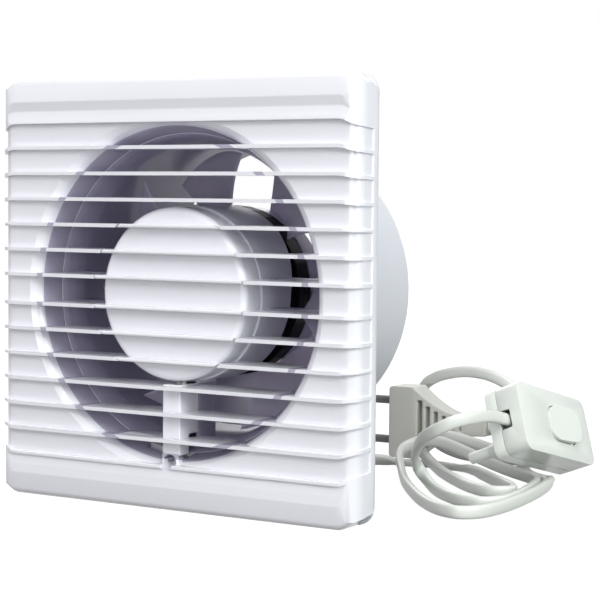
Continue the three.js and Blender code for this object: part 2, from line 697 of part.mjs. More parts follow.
for (let i = 0; i < POLE_COUNT; i++) {
  const inner = ROTOR_RADIUS + AIR_GAP + 1.6 + GAP + 0.4;
  const outer = STATOR_RADIUS - YOKE - 1.4;
  const w = POLE_WIDTH / 2 + GAP;
  const coil = cut(
    block(-w - COIL_WALL, stack0 - GAP - 2.2, inner, w + COIL_WALL, stack1 + GAP + 2.6, outer),
    block(-w, stack0 - GAP, inner - 1, w, stack1 + GAP, outer + 1),
  );
  named(`stator_coil_${i + 1}`, coil.rotate([0, (360 / POLE_COUNT) * i, 0]), copper, fan);
}

named("front_bearing", tube(BEARING_RADIUS, SHAFT_RADIUS + RUNNING_GAP,
  frontPlate0 - 3, frontPlate0 - 3 + BEARING_LENGTH - 2, 24), bronze, fan);
named("rear_bearing", tube(BEARING_RADIUS, SHAFT_RADIUS + RUNNING_GAP,
  CAN_END - BEARING_LENGTH, CAN_END, 24), bronze, fan);

const hubFront = CAN_END + 0.9;
const hubRear = hubFront + IMPELLER_HUB_LENGTH;
const shaftFront = frontPlate0 - 3.2;
const shaftRear = hubRear + 3;
named("motor_shaft", rod(SHAFT_RADIUS, shaftFront, shaftRear, 24), steel, fan);
named("rotor", tube(ROTOR_RADIUS, SHAFT_RADIUS + 0.02, stack0 - 0.5, stack1 + 0.5, 32), steel, fan);

for (const [i, turn] of boltTurns.entries()) {
  const bolt = screw(1.5, boltLength, 3, 1.4).translate([0, frontPlate0, 0]);
  named(`motor_screw_${i + 1}`, aroundMotor(bolt, turn), zinc, fan);
}

// -------------------------------------------------- impeller
// One blade as a skewed, cambered sheet between a leading edge at the front and a trailing edge at the back.
function blade() {
  const rows = 5;
  const columns = 8;
  const leadDepth = [30, 18]; // root and tip
  const trailDepth = [hubRear - 1.2, hubRear - 1.8];
  const leadAngle = [0, 13];
  const trailAngle = [-39, -41];
  const mix = (pair, s) => pair[0] + (pair[1] - pair[0]) * s;
  const point = (i, j, side) => {
    const s = i / (rows - 1);
    const t = j / (columns - 1);
    const radius = IMPELLER_HUB_RADIUS - 1 + (impellerRadius - IMPELLER_HUB_RADIUS + 1) * s;
    const angle = radians(mix(leadAngle, s) + (mix(trailAngle, s) - mix(leadAngle, s)) * t);
    const camber = 3.2 * Math.sin(Math.PI * t);
    const depth = mix(leadDepth, s) + (mix(trailDepth, s) - mix(leadDepth, s)) * t + camber;
    const half = (BLADE_THICKNESS / 2) * (0.45 + 0.75 * Math.sin(Math.PI * (0.12 + 0.76 * t)));
    // the sheet's normal lies between the axis and the direction of rotation
    const [nx, ny] = [-0.5, -0.86];
    return [
      radius * Math.sin(angle) + side * half * nx * Math.cos(angle),
      depth + side * half * ny,
      radius * Math.cos(angle) - side * half * nx * Math.sin(angle),
    ];
  };
  const positions = [];
  const index = [];
  for (const side of [-1, 1]) {
    for (let i = 0; i < rows; i++) for (let j = 0; j < columns; j++) positions.push(...point(i, j, side));
  }
  const at = (side, i, j) => side * rows * columns + i * columns + j;
  for (let i = 0; i < rows - 1; i++) {
    for (let j = 0; j < columns - 1; j++) {
      for (const side of [0, 1]) {
        const [a, b] = [at(side, i, j), at(side, i + 1, j)];
        const [c, d] = [at(side, i + 1, j + 1), at(side, i, j + 1)];
        index.push(...(side ? [a, c, b, a, d, c] : [a, b, c, a, c, d]));
      }
    }
  }
  const wall = (a, b) => {
    index.push(at(0, ...a), at(0, ...b), at(1, ...b));
    index.push(at(0, ...a), at(1, ...b), at(1, ...a));
  };
  for (let j = 0; j < columns - 1; j++) {
    wall([0, j], [0, j + 1]);
    wall([rows - 1, j + 1], [rows - 1, j]);
  }
  for (let i = 0; i < rows - 1; i++) {
    wall([i + 1, 0], [i, 0]);
    wall([i, columns - 1], [i + 1, columns - 1]);
  }
  const geometry = new THREE.BufferGeometry();
  geometry.setAttribute("position", new THREE.Float32BufferAttribute(positions, 3));
  geometry.setIndex(index);
  return solid(geometry);
}

function buildImpeller() {
  // the hub is a cup that opens towards the motor
  const hub = turned([
    [0, hubFront + 1],
    [BOSS_RADIUS, hubFront + 1],
    [BOSS_RADIUS + 1, hubRear - HUB_FLOOR],
    [IMPELLER_HUB_RADIUS - 2, hubRear - HUB_FLOOR],
    [IMPELLER_HUB_RADIUS - 2, hubFront],
    [IMPELLER_HUB_RADIUS, hubFront],
    [IMPELLER_HUB_RADIUS, hubRear - 3],
    [IMPELLER_HUB_RADIUS - 1, hubRear - 1],
    [IMPELLER_HUB_RADIUS - 4, hubRear],
    [0, hubRear],
  ], 40);
  const canRoom = rod(BLADE_ROOT_RADIUS, -5, hubFront, 40);
  const core = rod(IMPELLER_HUB_RADIUS - 1.5, 0, hubRear - 1, 40);
  const one = cut(blade(), canRoom, core);
  const blades = [];
  for (let i = 0; i < BLADE_COUNT; i++) blades.push(one.rotate([0, (360 / BLADE_COUNT) * i, 0]));
  const web = block(-0.8, hubFront + 1, BOSS_RADIUS - 0.5, 0.8, hubRear - 1, IMPELLER_HUB_RADIUS - 1.5);
  const webs = [0, 1, 2, 3, 4, 5].map((i) => web.rotate([0, 60 * i + 30, 0]));
  return cut(joined(hub, ...webs, ...blades), rod(SHAFT_RADIUS + 0.02, 0, SPIGOT_LENGTH, 24));
}
named("impeller", buildImpeller(), whiteSatin, fan);

const clip = cut(
  turned([
    [SHAFT_RADIUS + 0.02, 0], [BOSS_RADIUS + 0.2, 0], [BOSS_RADIUS + 0.2, 0.6], [BOSS_RADIUS - 2, 1.4],
    [SHAFT_RADIUS + 0.02, 1.4],
  ], 24),
  block(-0.7, -1, 0, 0.7, 3, 2 * BOSS_RADIUS),
);
named("impeller_clip", clip.translate([0, hubRear + GAP, 0]), steel, fan);

// -------------------------------------------------- terminal block and cord entry, in the footer
const footFloor = -halfFace + GRILLE_WALL + 1;
const t = TERMINAL_SIZE;
function buildTerminalBlock() {
  const z0 = footFloor + 0.8;
  const body = block(-t.x / 2, blockBack - t.y, z0, t.x / 2, blockBack, z0 + t.z);
  const tools = [-1, 1].flatMap((side) => [
    rod(1.7, -30, blockBack - 2.4, 12).translate([side * 4.2, 0, z0 + t.z * 0.5]),
    block(side * 4.2 - 1.3, blockBack - 5.4, z0 - 1, side * 4.2 + 1.3, blockBack - 2.8, z0 + t.z + 1),
  ]);
  return cut(body, ...tools).translate([terminalX, 0, 0]);
}
named("terminal_block", buildTerminalBlock(), offWhite, fan);
for (const [i, side] of [-1, 1].entries()) {
  const body = screw(1.3, 2, 1.5, 0.7);
  const z = footFloor + 0.8 + t.z * 0.5;
  const y = blockBack - 5.4 - 1.9;
  named(`terminal_screw_${i + 1}`, body.translate([terminalX + side * 4.2, y, z]), brass, fan);
}

// the cord's inner end runs from the terminal block, under the clamp and out through the base plate
const tail = new RibbonPath([
  new THREE.Vector3(terminalX + t.x / 2 + GAP, tailDepth, exitZ),
  new THREE.Vector3(clampX, tailDepth, exitZ),
  new THREE.Vector3(exitX - 7, tailDepth, exitZ),
  new THREE.Vector3(exitX - 3, tailDepth + 0.6, exitZ),
  new THREE.Vector3(exitX - 0.5, tailDepth + 2.4, exitZ),
  new THREE.Vector3(exitX, tailDepth + 4.6, exitZ),
  new THREE.Vector3(exitX, tailDepth + 8, exitZ),
  new THREE.Vector3(exitX, tailDepth + 14, exitZ),
  new THREE.Vector3(exitX, RELIEF_LENGTH - 2, exitZ),
]);
named("cord_inner_end", cord(tail, 22, CORD_WIDTH - 0.4, CORD_THICKNESS - 0.4), cordPlastic, fan);

const clampHalf = clampScrewZ + 1.9;
const bar = cut(
  block(-2.6, clampBack - 1.8, -clampHalf, 2.6, clampBack, clampHalf),
  ...[-1, 1].map((side) => rod(1.35, -30, 30, 12).translate([0, 0, side * clampScrewZ])),
).translate([clampX, 0, exitZ]);
named("cord_clamp", bar, offWhite, fan);
for (const [i, side] of [-1, 1].entries()) {
  const body = screw(1.05, 5.2, 1.6, 1);
  const y = clampBack - 1.8 - GAP / 2;
  named(`clamp_screw_${i + 1}`, body.translate([clampX, y, exitZ + side * clampScrewZ]), zinc, fan);
}

// tapered, ribbed sleeve where the cord leaves the base plate
function buildRelief() {
  const profile = [[0, GAP], [reliefFlange, GAP], [reliefFlange, 1.8], [4.7, 2.2]];
  for (let i = 0; i < 5; i++) {
    const y = 4 + i * 3.4;
    const r = 4.6 - i * 0.14;
    profile.push([r, y], [r - 0.8, y + 0.5], [r - 0.8, y + 1.5], [r - 0.1, y + 2]);
  }
  profile.push([3.7, RELIEF_LENGTH], [0, RELIEF_LENGTH]);
  const neck = rod(reliefFlange - 1.4, baseFront - 0.2, GAP + 0.2, 12);
  const body = turned(profile, 12).add(neck);
  const [w, t] = [CORD_WIDTH / 2, CORD_THICKNESS / 2];
  const slot = block(-t, -5, -w, t, RELIEF_LENGTH + 1, w);
  return cut(body, slot).translate([exitX, 0, exitZ]);
}
named("cord_strain_relief", buildRelief(), cordPlastic, fan);

const grilleScrew = screw(1.5, 7.2, grilleScrewHead, 1.2);
named("grille_screw", grilleScrew.translate([0, seatDepth - GAP / 2, screwHeight]), zinc, fan);

// motor leads: from the windings down the channel and behind the face plate to the terminal block
for (const [i, side] of [-1, 1].entries()) {
  const x = side * 1.3;
  const points = [
    [x, -0.2, -MOTOR_RADIUS + 6.2], [x, -3.4, -MOTOR_RADIUS + 3.2], [x, -6, -HUB_RADIUS - 0.8],
    [x, -7.4, -HUB_RADIUS - 8.8], [x, -7.4, -holeRadius + 11.7], [x, -6.4, -holeRadius + 6.2 - side * 0.6],
    [x - 6, -4, -holeRadius + 0.2 - side * 0.9], [terminalX + side * 3.6, -4.3, -bandEdge - 1.5],
    [terminalX + side * 4.2, -5.8, -bandEdge - 3.7], [terminalX + side * 4.2, -6.1, -bandEdge - 6.1],
  ].map((p) => new THREE.Vector3(...p));
  const path = new THREE.CatmullRomCurve3(points, false, "centripetal");
  const section = new THREE.Shape(new THREE.Path().absarc(0, 0, 0.9, 0, tau).getPoints(6).slice(0, 6));
  const settings = { steps: 24, extrudePath: path, bevelEnabled: false };
  const wire = solid(new THREE.ExtrudeGeometry(section, settings));
  named(i ? "motor_lead_2" : "motor_lead_1", wire, i ? offWhite : plugGrey, fan);
}

// -------------------------------------------------- in-line switch
// Its own frame: X along it towards the far end, Y across it, Z out through the rocker's face, 0 at its back.
const switchAlong = new THREE.Vector3(0.12208, 0.96441, -0.23455);
const switchOut = new THREE.Vector3(0.93194, -0.03008, 0.36138);
const lineSwitch = new THREE.Group();
lineSwitch.position.set(90.92, 102.72, 22.23);
lineSwitch.quaternion.setFromRotationMatrix(new THREE.Matrix4().makeBasis(
  switchAlong, new THREE.Vector3().crossVectors(switchOut, switchAlong), switchOut));
object.add(lineSwitch);

const rockerAxis = SWITCH_HEIGHT - TRUNNION_DEPTH;
const screwX = 23;
const screwY = 9.8;
const cordAxis = SWITCH_SEAM + GAP / 2 + CORD_HOLE_HEIGHT / 2;

// A bevelled box: one face between z0 and z1 is full size and the other is drawn in by the bevel.
function bevelled(length, width, corner, z0, z1, bevelAt) {
  const inner = roundedRectangle(length - 2 * SWITCH_EDGE, width - 2 * SWITCH_EDGE, corner - SWITCH_EDGE / 2);
  const low = bevelAt === "low";
  const [from, to] = low ? [z0 + SWITCH_EDGE, z1] : [z0, z1 - SWITCH_EDGE];
  const body = plate(roundedRectangle(length, width, corner), from, to);
  const face = low ? plate(inner, z0, z0 + 0.1) : plate(inner, z1 - 0.1, z1);
  return wasm.Manifold.hull([body, face]);
}

function cordHoles() {
  const x = SWITCH_LENGTH / 2 + 1;
  const z = SWITCH_SEAM - GAP;
  return block(-x, -CORD_HOLE_WIDTH / 2, z, x, CORD_HOLE_WIDTH / 2, cordAxis + CORD_HOLE_HEIGHT / 2);
}

function upright(radius, z0, z1, segments = 20) {
  return rod(radius, z0, z1, segments).rotate([90, 0, 0]);
}

function crossways(radius, y0, y1, segments = 24) {
  return rod(radius, y0, y1, segments);
}

function buildUpperShell() {
  const z0 = SWITCH_SEAM + GAP / 2;
  const outer = bevelled(SWITCH_LENGTH, SWITCH_WIDTH, SWITCH_CORNER, z0, SWITCH_HEIGHT, "high");
  const wall = 2 * SWITCH_WALL;
  const hollow = plate(
    roundedRectangle(SWITCH_LENGTH - wall, SWITCH_WIDTH - wall, SWITCH_CORNER - SWITCH_WALL), z0 - 1,
    SWITCH_HEIGHT - SWITCH_WALL);
  const opening = plate(roundedRectangle(ROCKER_LENGTH + 1.4, ROCKER_WIDTH + 0.8, ROCKER_CORNER),
    rockerAxis - 8, SWITCH_HEIGHT + 1).translate([ROCKER_OFFSET, 0, 0]);
  const half = ROCKER_WIDTH / 2 + 0.4;
  const lugs = [1, -1].map((side) => {
    const y = [side * (half + 0.1), side * (half + 2.2)].sort((m, n) => m - n);
    return block(ROCKER_OFFSET - 3.4, y[0], rockerAxis - 2.8, ROCKER_OFFSET + 3.4, y[1], SWITCH_HEIGHT - 0.8);
  });
  const bore = crossways(TRUNNION_RADIUS + RUNNING_GAP, -half - 1.6, half + 1.6)
    .translate([ROCKER_OFFSET, 0, rockerAxis]);
  const posts = [1, -1].map((side) => upright(2.6, z0, SWITCH_HEIGHT - 0.8)
    .translate([side * screwX, side * screwY, 0]));
  const holes = [1, -1].map((side) => upright(1.25, z0 - 1, z0 + 6.5, 16)
    .translate([side * screwX, side * screwY, 0]));
  return cut(joined(cut(outer, hollow), ...lugs, ...posts), opening, bore, cordHoles(), ...holes);
}
named("switch_upper_shell", buildUpperShell(), whiteGloss, lineSwitch);

function buildLowerShell() {
  const z1 = SWITCH_SEAM - GAP / 2;
  const outer = bevelled(SWITCH_LENGTH, SWITCH_WIDTH, SWITCH_CORNER, 0, z1, "low");
  const wall = 2 * SWITCH_WALL;
  const inner = roundedRectangle(SWITCH_LENGTH - wall, SWITCH_WIDTH - wall, SWITCH_CORNER - SWITCH_WALL);
  const hollow = plate(inner, SWITCH_WALL, 20);
  const at = (body, side) => body.translate([side * screwX, side * screwY, 0]);
  const posts = [1, -1].map((side) => at(upright(3, 0.5, z1), side));
  const counterbored = joined(upright(1.4, -1, 20, 16), upright(2.5, -1, 1.8));
  const holes = [1, -1].map((side) => at(counterbored, side));
  return cut(joined(cut(outer, hollow), ...posts), ...holes);
}
named("switch_lower_shell", buildLowerShell(), whiteGloss, lineSwitch);

// It rests with its near end pressed in, so that the joint starts from a stop.
const tilt = new THREE.Group();
tilt.position.set(ROCKER_OFFSET, 0, rockerAxis);
tilt.rotation.y = -radians(ROCKER_ANGLE);
lineSwitch.add(tilt);

function buildRocker() {
  const z0 = TRUNNION_DEPTH - ROCKER_DEPTH;
  const z1 = TRUNNION_DEPTH + ROCKER_RISE;
  const edge = 0.9;
  const inset = 2 * edge;
  const body = plate(roundedRectangle(ROCKER_LENGTH, ROCKER_WIDTH, ROCKER_CORNER), z0, z1 - edge);
  const face = plate(roundedRectangle(ROCKER_LENGTH - inset, ROCKER_WIDTH - inset, ROCKER_CORNER - edge),
    z1 - 0.1, z1);
  const skin = wasm.Manifold.hull([body, face]);
  const inner = roundedRectangle(ROCKER_LENGTH - 3.2, ROCKER_WIDTH - 3.2, ROCKER_CORNER - 1.6);
  const hollow = plate(inner, z0 - 1, z1 - 2);
  const keel = block(-1.6, -ROCKER_WIDTH / 2 + 1, z0, 1.6, ROCKER_WIDTH / 2 - 1, z1 - 1.5);
  const pins = crossways(TRUNNION_RADIUS, -ROCKER_WIDTH / 2 - 1.7, ROCKER_WIDTH / 2 + 1.7);
  const slot = block(-1.9, -2.4, z0 - 1, 1.9, 2.4, z0 + 1);
  return cut(joined(cut(skin, hollow), keel, pins), slot);
}
named("switch_rocker", buildRocker(), whiteGloss, tilt);

// contact bridge carried under the rocker, and the two fixed contacts that it joins
const bridgeTop = TRUNNION_DEPTH - ROCKER_DEPTH + 1 - GAP;
named("switch_bridge", joined(
  block(-9, -2, bridgeTop - 0.8, 9, 2, bridgeTop),
  block(-1.6, -1.8, bridgeTop - 3, 1.6, 1.8, bridgeTop - 0.2),
  block(-9, -2, bridgeTop - 1.7, -7, 2, bridgeTop - 0.2),
), brass, tilt);
for (const [i, side] of [-1, 1].entries()) {
  // contact 1 is under the bridge's near end and contact 2 under its middle
  const x = ROCKER_OFFSET + (side < 0 ? -8 : 0);
  const floor = SWITCH_WALL + 0.2;
  const top = rockerAxis - 3.2;
  const outer = [side * 4.6, side * 3.8].sort((m, n) => m - n);
  const pad = [side * 4.6, -side * 1.8].sort((m, n) => m - n);
  const run = [x - side * 1.5, side * 20].sort((m, n) => m - n);
  const strip = joined(
    block(x - 1.5, pad[0], top - 0.8, x + 1.5, pad[1], top),
    block(x - 1.5, outer[0], floor, x + 1.5, outer[1], top),
    block(run[0], outer[0], floor, run[1], outer[1], floor + 2.4),
  );
  named(`switch_contact_${i + 1}`, strip, brass, lineSwitch);
}
for (const [i, side] of [1, -1].entries()) {
  const at = [side * screwX, side * screwY, 1.8 - GAP / 2];
  const body = screw(1.2, 9, 2.3, 1.2).rotate([90, 0, 0]).translate(at);
  named(`switch_screw_${i + 1}`, body, zinc, lineSwitch);
}

// -------------------------------------------------- plug
// Its own frame: X along it from the pin face to the neck, Z across its width.
const plug = new THREE.Group();
plug.position.set(13.3, 125, PLUG_WIDTH / 2 + 4);
object.add(plug);
const plugEnd = PLUG_HEAD + PLUG_TAPER + PLUG_NECK;

// The body's half height at a distance from the pin face: straight, then a hollow curve down to the neck.
function plugHalf(x) {
  if (x <= PLUG_HEAD) return PLUG_WIDTH / 2;
  const s = Math.min((x - PLUG_HEAD) / PLUG_TAPER, 1);
  return NECK_RADIUS + (PLUG_WIDTH / 2 - NECK_RADIUS) * (1 - s) ** 1.7;
}

function buildPlug() {
  const round = 2.2;
  const edge = PLUG_WIDTH / 2;
  const upper = [[0, edge - round], [round * 0.3, edge - round * 0.3], [round, edge]];
  for (let i = 0; i <= 10; i++) {
    const x = PLUG_HEAD + (PLUG_TAPER * i) / 10;
    upper.push([x, plugHalf(x)]);
  }
  upper.push([plugEnd, NECK_RADIUS - 0.8]);
  const lower = upper.map(([x, z]) => [x, -z]).reverse();
  const side = slab(polygon([...upper, ...lower]), -PLUG_THICKNESS, PLUG_THICKNESS);
  const h = PLUG_THICKNESS / 2;
  const n = NECK_RADIUS - 0.6;
  const plan = [
    [0, h - 1], [1, h], [PLUG_HEAD, h], [PLUG_HEAD + PLUG_TAPER, n], [plugEnd, n - 0.6],
    [plugEnd, 0.6 - n], [PLUG_HEAD + PLUG_TAPER, -n], [PLUG_HEAD, -h], [1, -h], [0, 1 - h],
  ];
  const top = plate(polygon(plan), -PLUG_WIDTH, PLUG_WIDTH);
  const grooves = [];
  for (let i = 0; i < PLUG_RIBS; i++) {
    const x = PLUG_HEAD + 2.2 + i * 4.1;
    const width = 2.5 - i * 0.14;
    const z = plugHalf(x + width) - 2.4;
    for (const face of [-1, 1]) {
      const y = [(face * PLUG_WEB) / 2, face * PLUG_THICKNESS].sort((m, k) => m - k);
      grooves.push(block(x, y[0], -z, x + width, y[1], z));
    }
  }
  const boreRadius = PIN_RADIUS + RUNNING_GAP;
  const bores = [-1, 1].map((k) => alongX(boreRadius, -1, PIN_ROOT + GAP, (k * PIN_SPACING) / 2));
  return cut(side.intersect(top), ...grooves, ...bores);
}

// A round bar along the plug's X axis, at a height.
function alongX(radius, x0, x1, z) {
  return rod(radius, -x1, -x0, 18).rotate([0, 0, 90]).translate([0, 0, z]);
}
named("plug_body", buildPlug(), plugGrey, plug);
for (const [i, side] of [1, -1].entries()) {
  const z = (side * PIN_SPACING) / 2;
  const start = -PIN_LENGTH + 0.8;
  const pin = joined(
    alongX(PIN_RADIUS, -SLEEVE_LENGTH - GAP, PIN_ROOT, z).subtract(
      cut(alongX(5, -SLEEVE_LENGTH, 0, z), alongX(PIN_WAIST, -20, 20, z))),
    alongX(PIN_RADIUS, start, -SLEEVE_LENGTH, z),
    alongX(PIN_RADIUS - 0.7, -PIN_LENGTH, start + 0.1, z),
  );
  named(`plug_pin_${i + 1}`, pin, zinc, plug);
  const sleeve = cut(
    alongX(PIN_RADIUS - 0.02, -SLEEVE_LENGTH + RUNNING_GAP, -RUNNING_GAP, z),
    alongX(PIN_WAIST + RUNNING_GAP, -30, 30, z),
  );
  named(`plug_sleeve_${i + 1}`, sleeve, sleeveGrey, plug);
}

// -------------------------------------------------- the cord's two free stretches
// Each point is [x, y, z, roll in degrees] along the cord's middle; its width stands upright at roll 0.
const FAN_SIDE_ROUTE = [
  [26, -5.7, 10, 0], [26, 5, 9.2, 0], [25, 17, 6, 0], [20.5, 33, 3.4, 0], [12.5, 50, 2.9, 0],
  [4, 67, 2.9, 0], [-1.5, 83, 2.9, 0], [-1, 97, 2.9, 0], [5, 106.5, 3, 0], [13, 112.4, 3.2, 30],
  [20.5, 116.2, 2.2, 82], [28, 119.4, 1.85, 90], [36.5, 121, 1.85, 90], [46, 119.4, 1.85, 90],
  [54.5, 114.8, 2.3, 75], [63, 107.8, 3.1, 40], [72, 99.3, 3.1, 10], [82, 89.6, 2.9, 0],
  [92, 80, 2.9, 0], [99.2, 72.2, 2.9, 0], [102.6, 65.6, 2.9, 0], [100.8, 60.2, 2.9, 0],
  [95, 58.6, 2.9, 0], [83, 65.2, 2.9, 0], [66, 81.6, 3, 0],
  [52.5, 96.2, 3.4, 0], [44.5, 105.3, 4.3, 0], [38, 111.4, 6.2, 0], [32.8, 114.6, 10.1, 0],
  [34, 115.4, 14.6, 0], [40.5, 115.4, 16.9, 0], [49, 115.2, 16.6, 0], [60, 115, 14.4, 0],
  [72, 114.6, 12.2, 0], [81, 116.4, 12, 0], [87, 121.5, 14.3, 0], [88.2, 128, 19.2, 0],
  [84.3, 131.5, 27, 0], [79, 129.5, 35.5, 0], [72.5, 127, 40.9, 0], [62, 127, 45, 0],
  [49.5, 128.5, 46, 0], [37.7, 130.5, 44, 0], [29.7, 133.8, 41.3, 0], [23, 137.2, 37.3, 0],
  [18.8, 140, 30.5, 0], [18, 142, 22.5, 0], [20.2, 145, 14, 0], [26, 148, 7.5, 0], [36, 150, 3.6, 0],
  [50, 150.5, 2.9, 0], [66, 151, 2.9, 0], [80, 153.5, 3.1, 0], [91, 155.5, 5.2, 0],
  [98.6, 153.3, 8.6, 0], [102.4, 147.5, 11.8, 10], [103.5, 141, 15.2, 22], [102.6, 134, 17.5, 22],
  [101.7, 126.8, 19.3, 22],
];
const PLUG_SIDE_ROUTE = [
  [95.55, 78.3, 31.1, 22], [94.7, 71.6, 32.7, 22], [93.3, 60, 34.8, 10], [90.3, 50, 34.8, 0],
  [85.2, 43.6, 33.4, 0], [78.2, 42.2, 29.9, 0], [70.6, 45.2, 25.7, 0], [64.5, 50.5, 20.5, 0],
  [59.9, 57, 14.6, 0], [58.8, 62.6, 9.4, 0], [62.2, 62.6, 5.3, 0], [70.3, 54.5, 3, 0],
  [84.2, 39.5, 2.9, 0], [96, 31.6, 2.9, 0], [105.1, 30.5, 2.9, 0], [110, 36.5, 2.9, 0],
  [110.3, 50.4, 2.9, 0], [107.5, 70, 2.9, 0], [102.3, 91.5, 2.9, 0], [97.4, 100.4, 2.9, 0],
  [91.3, 104.6, 3.2, 0], [83.5, 106.4, 4.4, 0], [73.7, 107.3, 6.8, 0], [60, 109.4, 10.6, 0],
  [48.6, 109.8, 13.9, 0], [39.5, 109.9, 14.6, 0], [32.6, 108.3, 13.2, 0], [29.4, 103.6, 10.5, 0],
  [30.6, 97.7, 7.2, 0], [35.3, 90.5, 4.3, 0], [42.3, 79, 2.9, 0], [53, 61.5, 2.9, 0], [67.2, 41, 2.9, 0],
  [83.7, 20.3, 2.9, 0], [97.3, 7.9, 2.9, 0], [107, 5.2, 2.9, 0], [112.9, 11, 2.9, 0],
  [115.3, 24.1, 2.9, 0], [115, 43.9, 2.9, 0], [112.2, 68, 2.9, 0], [109.3, 84, 2.9, 0],
  [106.3, 96, 2.9, 10], [100.2, 107.4, 2.1, 80], [93.4, 112.8, 1.9, 90], [86.6, 116.6, 2.5, 80],
  [82, 121, 4.4, 50], [78.8, 125.3, 9, 25], [74.5, 126.8, 14.6, 10], [70.2, 125.9, 18.9, 0],
  [66.4, 125.05, 20.8, 0],
  [63.2, 125, 21, 0],
];
const CORD_STEP = 8; // length of one straight piece of the tube

function ribbon(route) {
  return new RibbonPath(route.map(([x, y, z]) => new THREE.Vector3(x, y, z)), route.map((point) => point[3]));
}

// Distance between the surfaces of the nearest two places on the cord that aren't neighbours along it.
function leastGap(paths) {
  const rings = [];
  for (const [which, path] of paths.entries()) {
    const count = Math.ceil(path.getLength() / 2);
    const { normals } = path.computeFrenetFrames(count);
    for (let i = 0; i <= count; i++) {
      const at = path.getPointAt(i / count);
      const half = normals[i].clone().multiplyScalar((CORD_WIDTH - CORD_THICKNESS) / 2);
      rings.push({ which, run: i * 2, at, ends: [at.clone().sub(half), at.clone().add(half)] });
    }
  }
  let least = Infinity;
  for (const a of rings) {
    for (const b of rings) {
      if (a.which === b.which && Math.abs(a.run - b.run) < 24) continue;
      if (a.at.distanceTo(b.at) > 3 * CORD_WIDTH) continue;
      for (let s = 0; s <= 4; s++) {
        const p = a.ends[0].clone().lerp(a.ends[1], s / 4);
        const line = new THREE.Line3(b.ends[0], b.ends[1]);
        const q = line.closestPointToPoint(p, true, new THREE.Vector3());
        least = Math.min(least, p.distanceTo(q) - CORD_THICKNESS);
      }
    }
  }
  return least;
}

const fanSide = ribbon(FAN_SIDE_ROUTE);
const plugSide = ribbon(PLUG_SIDE_ROUTE);
const cordGap = leastGap([fanSide, plugSide]);
const millimetres = (path) => path.getLength().toFixed(0);
console.log(`cord: ${millimetres(fanSide)} + ${millimetres(plugSide)} mm`);
console.log(`least gap of the cord to itself: ${cordGap.toFixed(2)} mm`);
const stepsOf = (path) => Math.round(path.getLength() / CORD_STEP);
named("cord_fan_side", cord(fanSide, stepsOf(fanSide)), cordPlastic, object);
named("cord_plug_side", cord(plugSide, stepsOf(plugSide)), cordPlastic, object);

export default object;
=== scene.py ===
"""A window exhaust fan with its cord, switch and plug on a pale floor, dressed round its construction model.

Shapes are drawn in millimetres, in the frame of the fan, the switch or the plug, and placed in metres
at the end.
"""
import json
import math

import bmesh
import bpy
from mathutils import Matrix, Vector


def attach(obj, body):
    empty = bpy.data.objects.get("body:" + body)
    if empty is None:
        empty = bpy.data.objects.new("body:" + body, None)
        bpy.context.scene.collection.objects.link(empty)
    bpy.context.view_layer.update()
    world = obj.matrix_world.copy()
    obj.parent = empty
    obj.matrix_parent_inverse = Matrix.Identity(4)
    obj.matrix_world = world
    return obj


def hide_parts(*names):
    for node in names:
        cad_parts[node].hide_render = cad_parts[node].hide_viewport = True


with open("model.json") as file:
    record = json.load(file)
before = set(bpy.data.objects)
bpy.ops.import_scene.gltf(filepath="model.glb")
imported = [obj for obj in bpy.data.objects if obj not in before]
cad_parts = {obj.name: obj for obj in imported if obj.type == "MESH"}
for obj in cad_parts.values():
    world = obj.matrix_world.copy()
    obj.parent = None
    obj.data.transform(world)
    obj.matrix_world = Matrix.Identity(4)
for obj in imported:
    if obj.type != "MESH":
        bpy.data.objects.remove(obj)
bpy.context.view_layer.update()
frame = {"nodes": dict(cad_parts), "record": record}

MM = 0.001

# ---------------------------------------------------------------- sizes, in millimetres
FACE = 175.0  # width and height of the grille
DEPTH = 17.0  # fins' front edges to the wall face
SPIGOT_LENGTH = 73.0
SPIGOT_RADIUS = 62.5
SPIGOT_WALL = 1.7
INLET_FLARE = 4.0  # added to the spigot's radius at the inlet
BASE = 1.7  # thickness of the base plate
BASE_CORNER = 7.0
BASE_MARGIN = 0.4  # from its edge out to the face's edge
WALL_HOLE = 70.0  # the wall screws' distance from the middle, each way
WALL_HOLE_RADIUS = 2.3
FACE_CORNER = 7.5
PLATE_CORNER = 9.5
GAP = 0.3  # between pieces that meet

FIN_PITCH = 10.6
FIN_MIDDLE_GAP = 12.1
FIN_COUNT = 6  # in each half
FIN = 1.5  # thickness
FIN_EDGE = 0.5  # rounding of the fins' edges
FIN_PROUD = 2.2  # the fins stand this far out from the plate
FIN_DEPTH = 18.0  # of the fins in the opening
FIN_DROOP = 5.5  # of the topmost edge, at the face's sides
DROOP_WIDTH = 8.5
PLATE = 1.8  # thickness of the plate behind the fins
HOLE_RADIUS = 66.7
HOLE_FLARE = 5.3  # the opening's extra radius at its front
SIDE_RECESS = 0.6  # from the fins' ends in to the plate's sides
WALL = 1.8
RIM_DEPTH = 2.6
CREASE_RISE = 9.2  # from the header's lower edge up to its crease
CREASE_DROP = 1.1  # how far the header leans back above the crease
COVE = 0.9  # depth of the hollow below the crease

HUB_RADIUS = 35.2
HUB_SETBACK = 4.0  # from the fins' edges back to the cover's face
HUB_EDGE = 2.2
HUB_SKIRT_END = -2.0  # this and the other ends are depths behind the wall face
SLIT = 0.9  # between the fins and the cover's ribs
RIB_OVERHANG = 1.1
COVER_WALL = 1.6
MOTOR_RADIUS = 34.2
CRADLE_WALL = 1.6
CRADLE_END = 27.0
CRADLE_LOW_END = 19.8  # where the cradle ends in its lower half
CRADLE_SLANT = 0.26  # of its end above the middle, per millimetre up
ARM_END = 15.0
CAN_END = 37.0

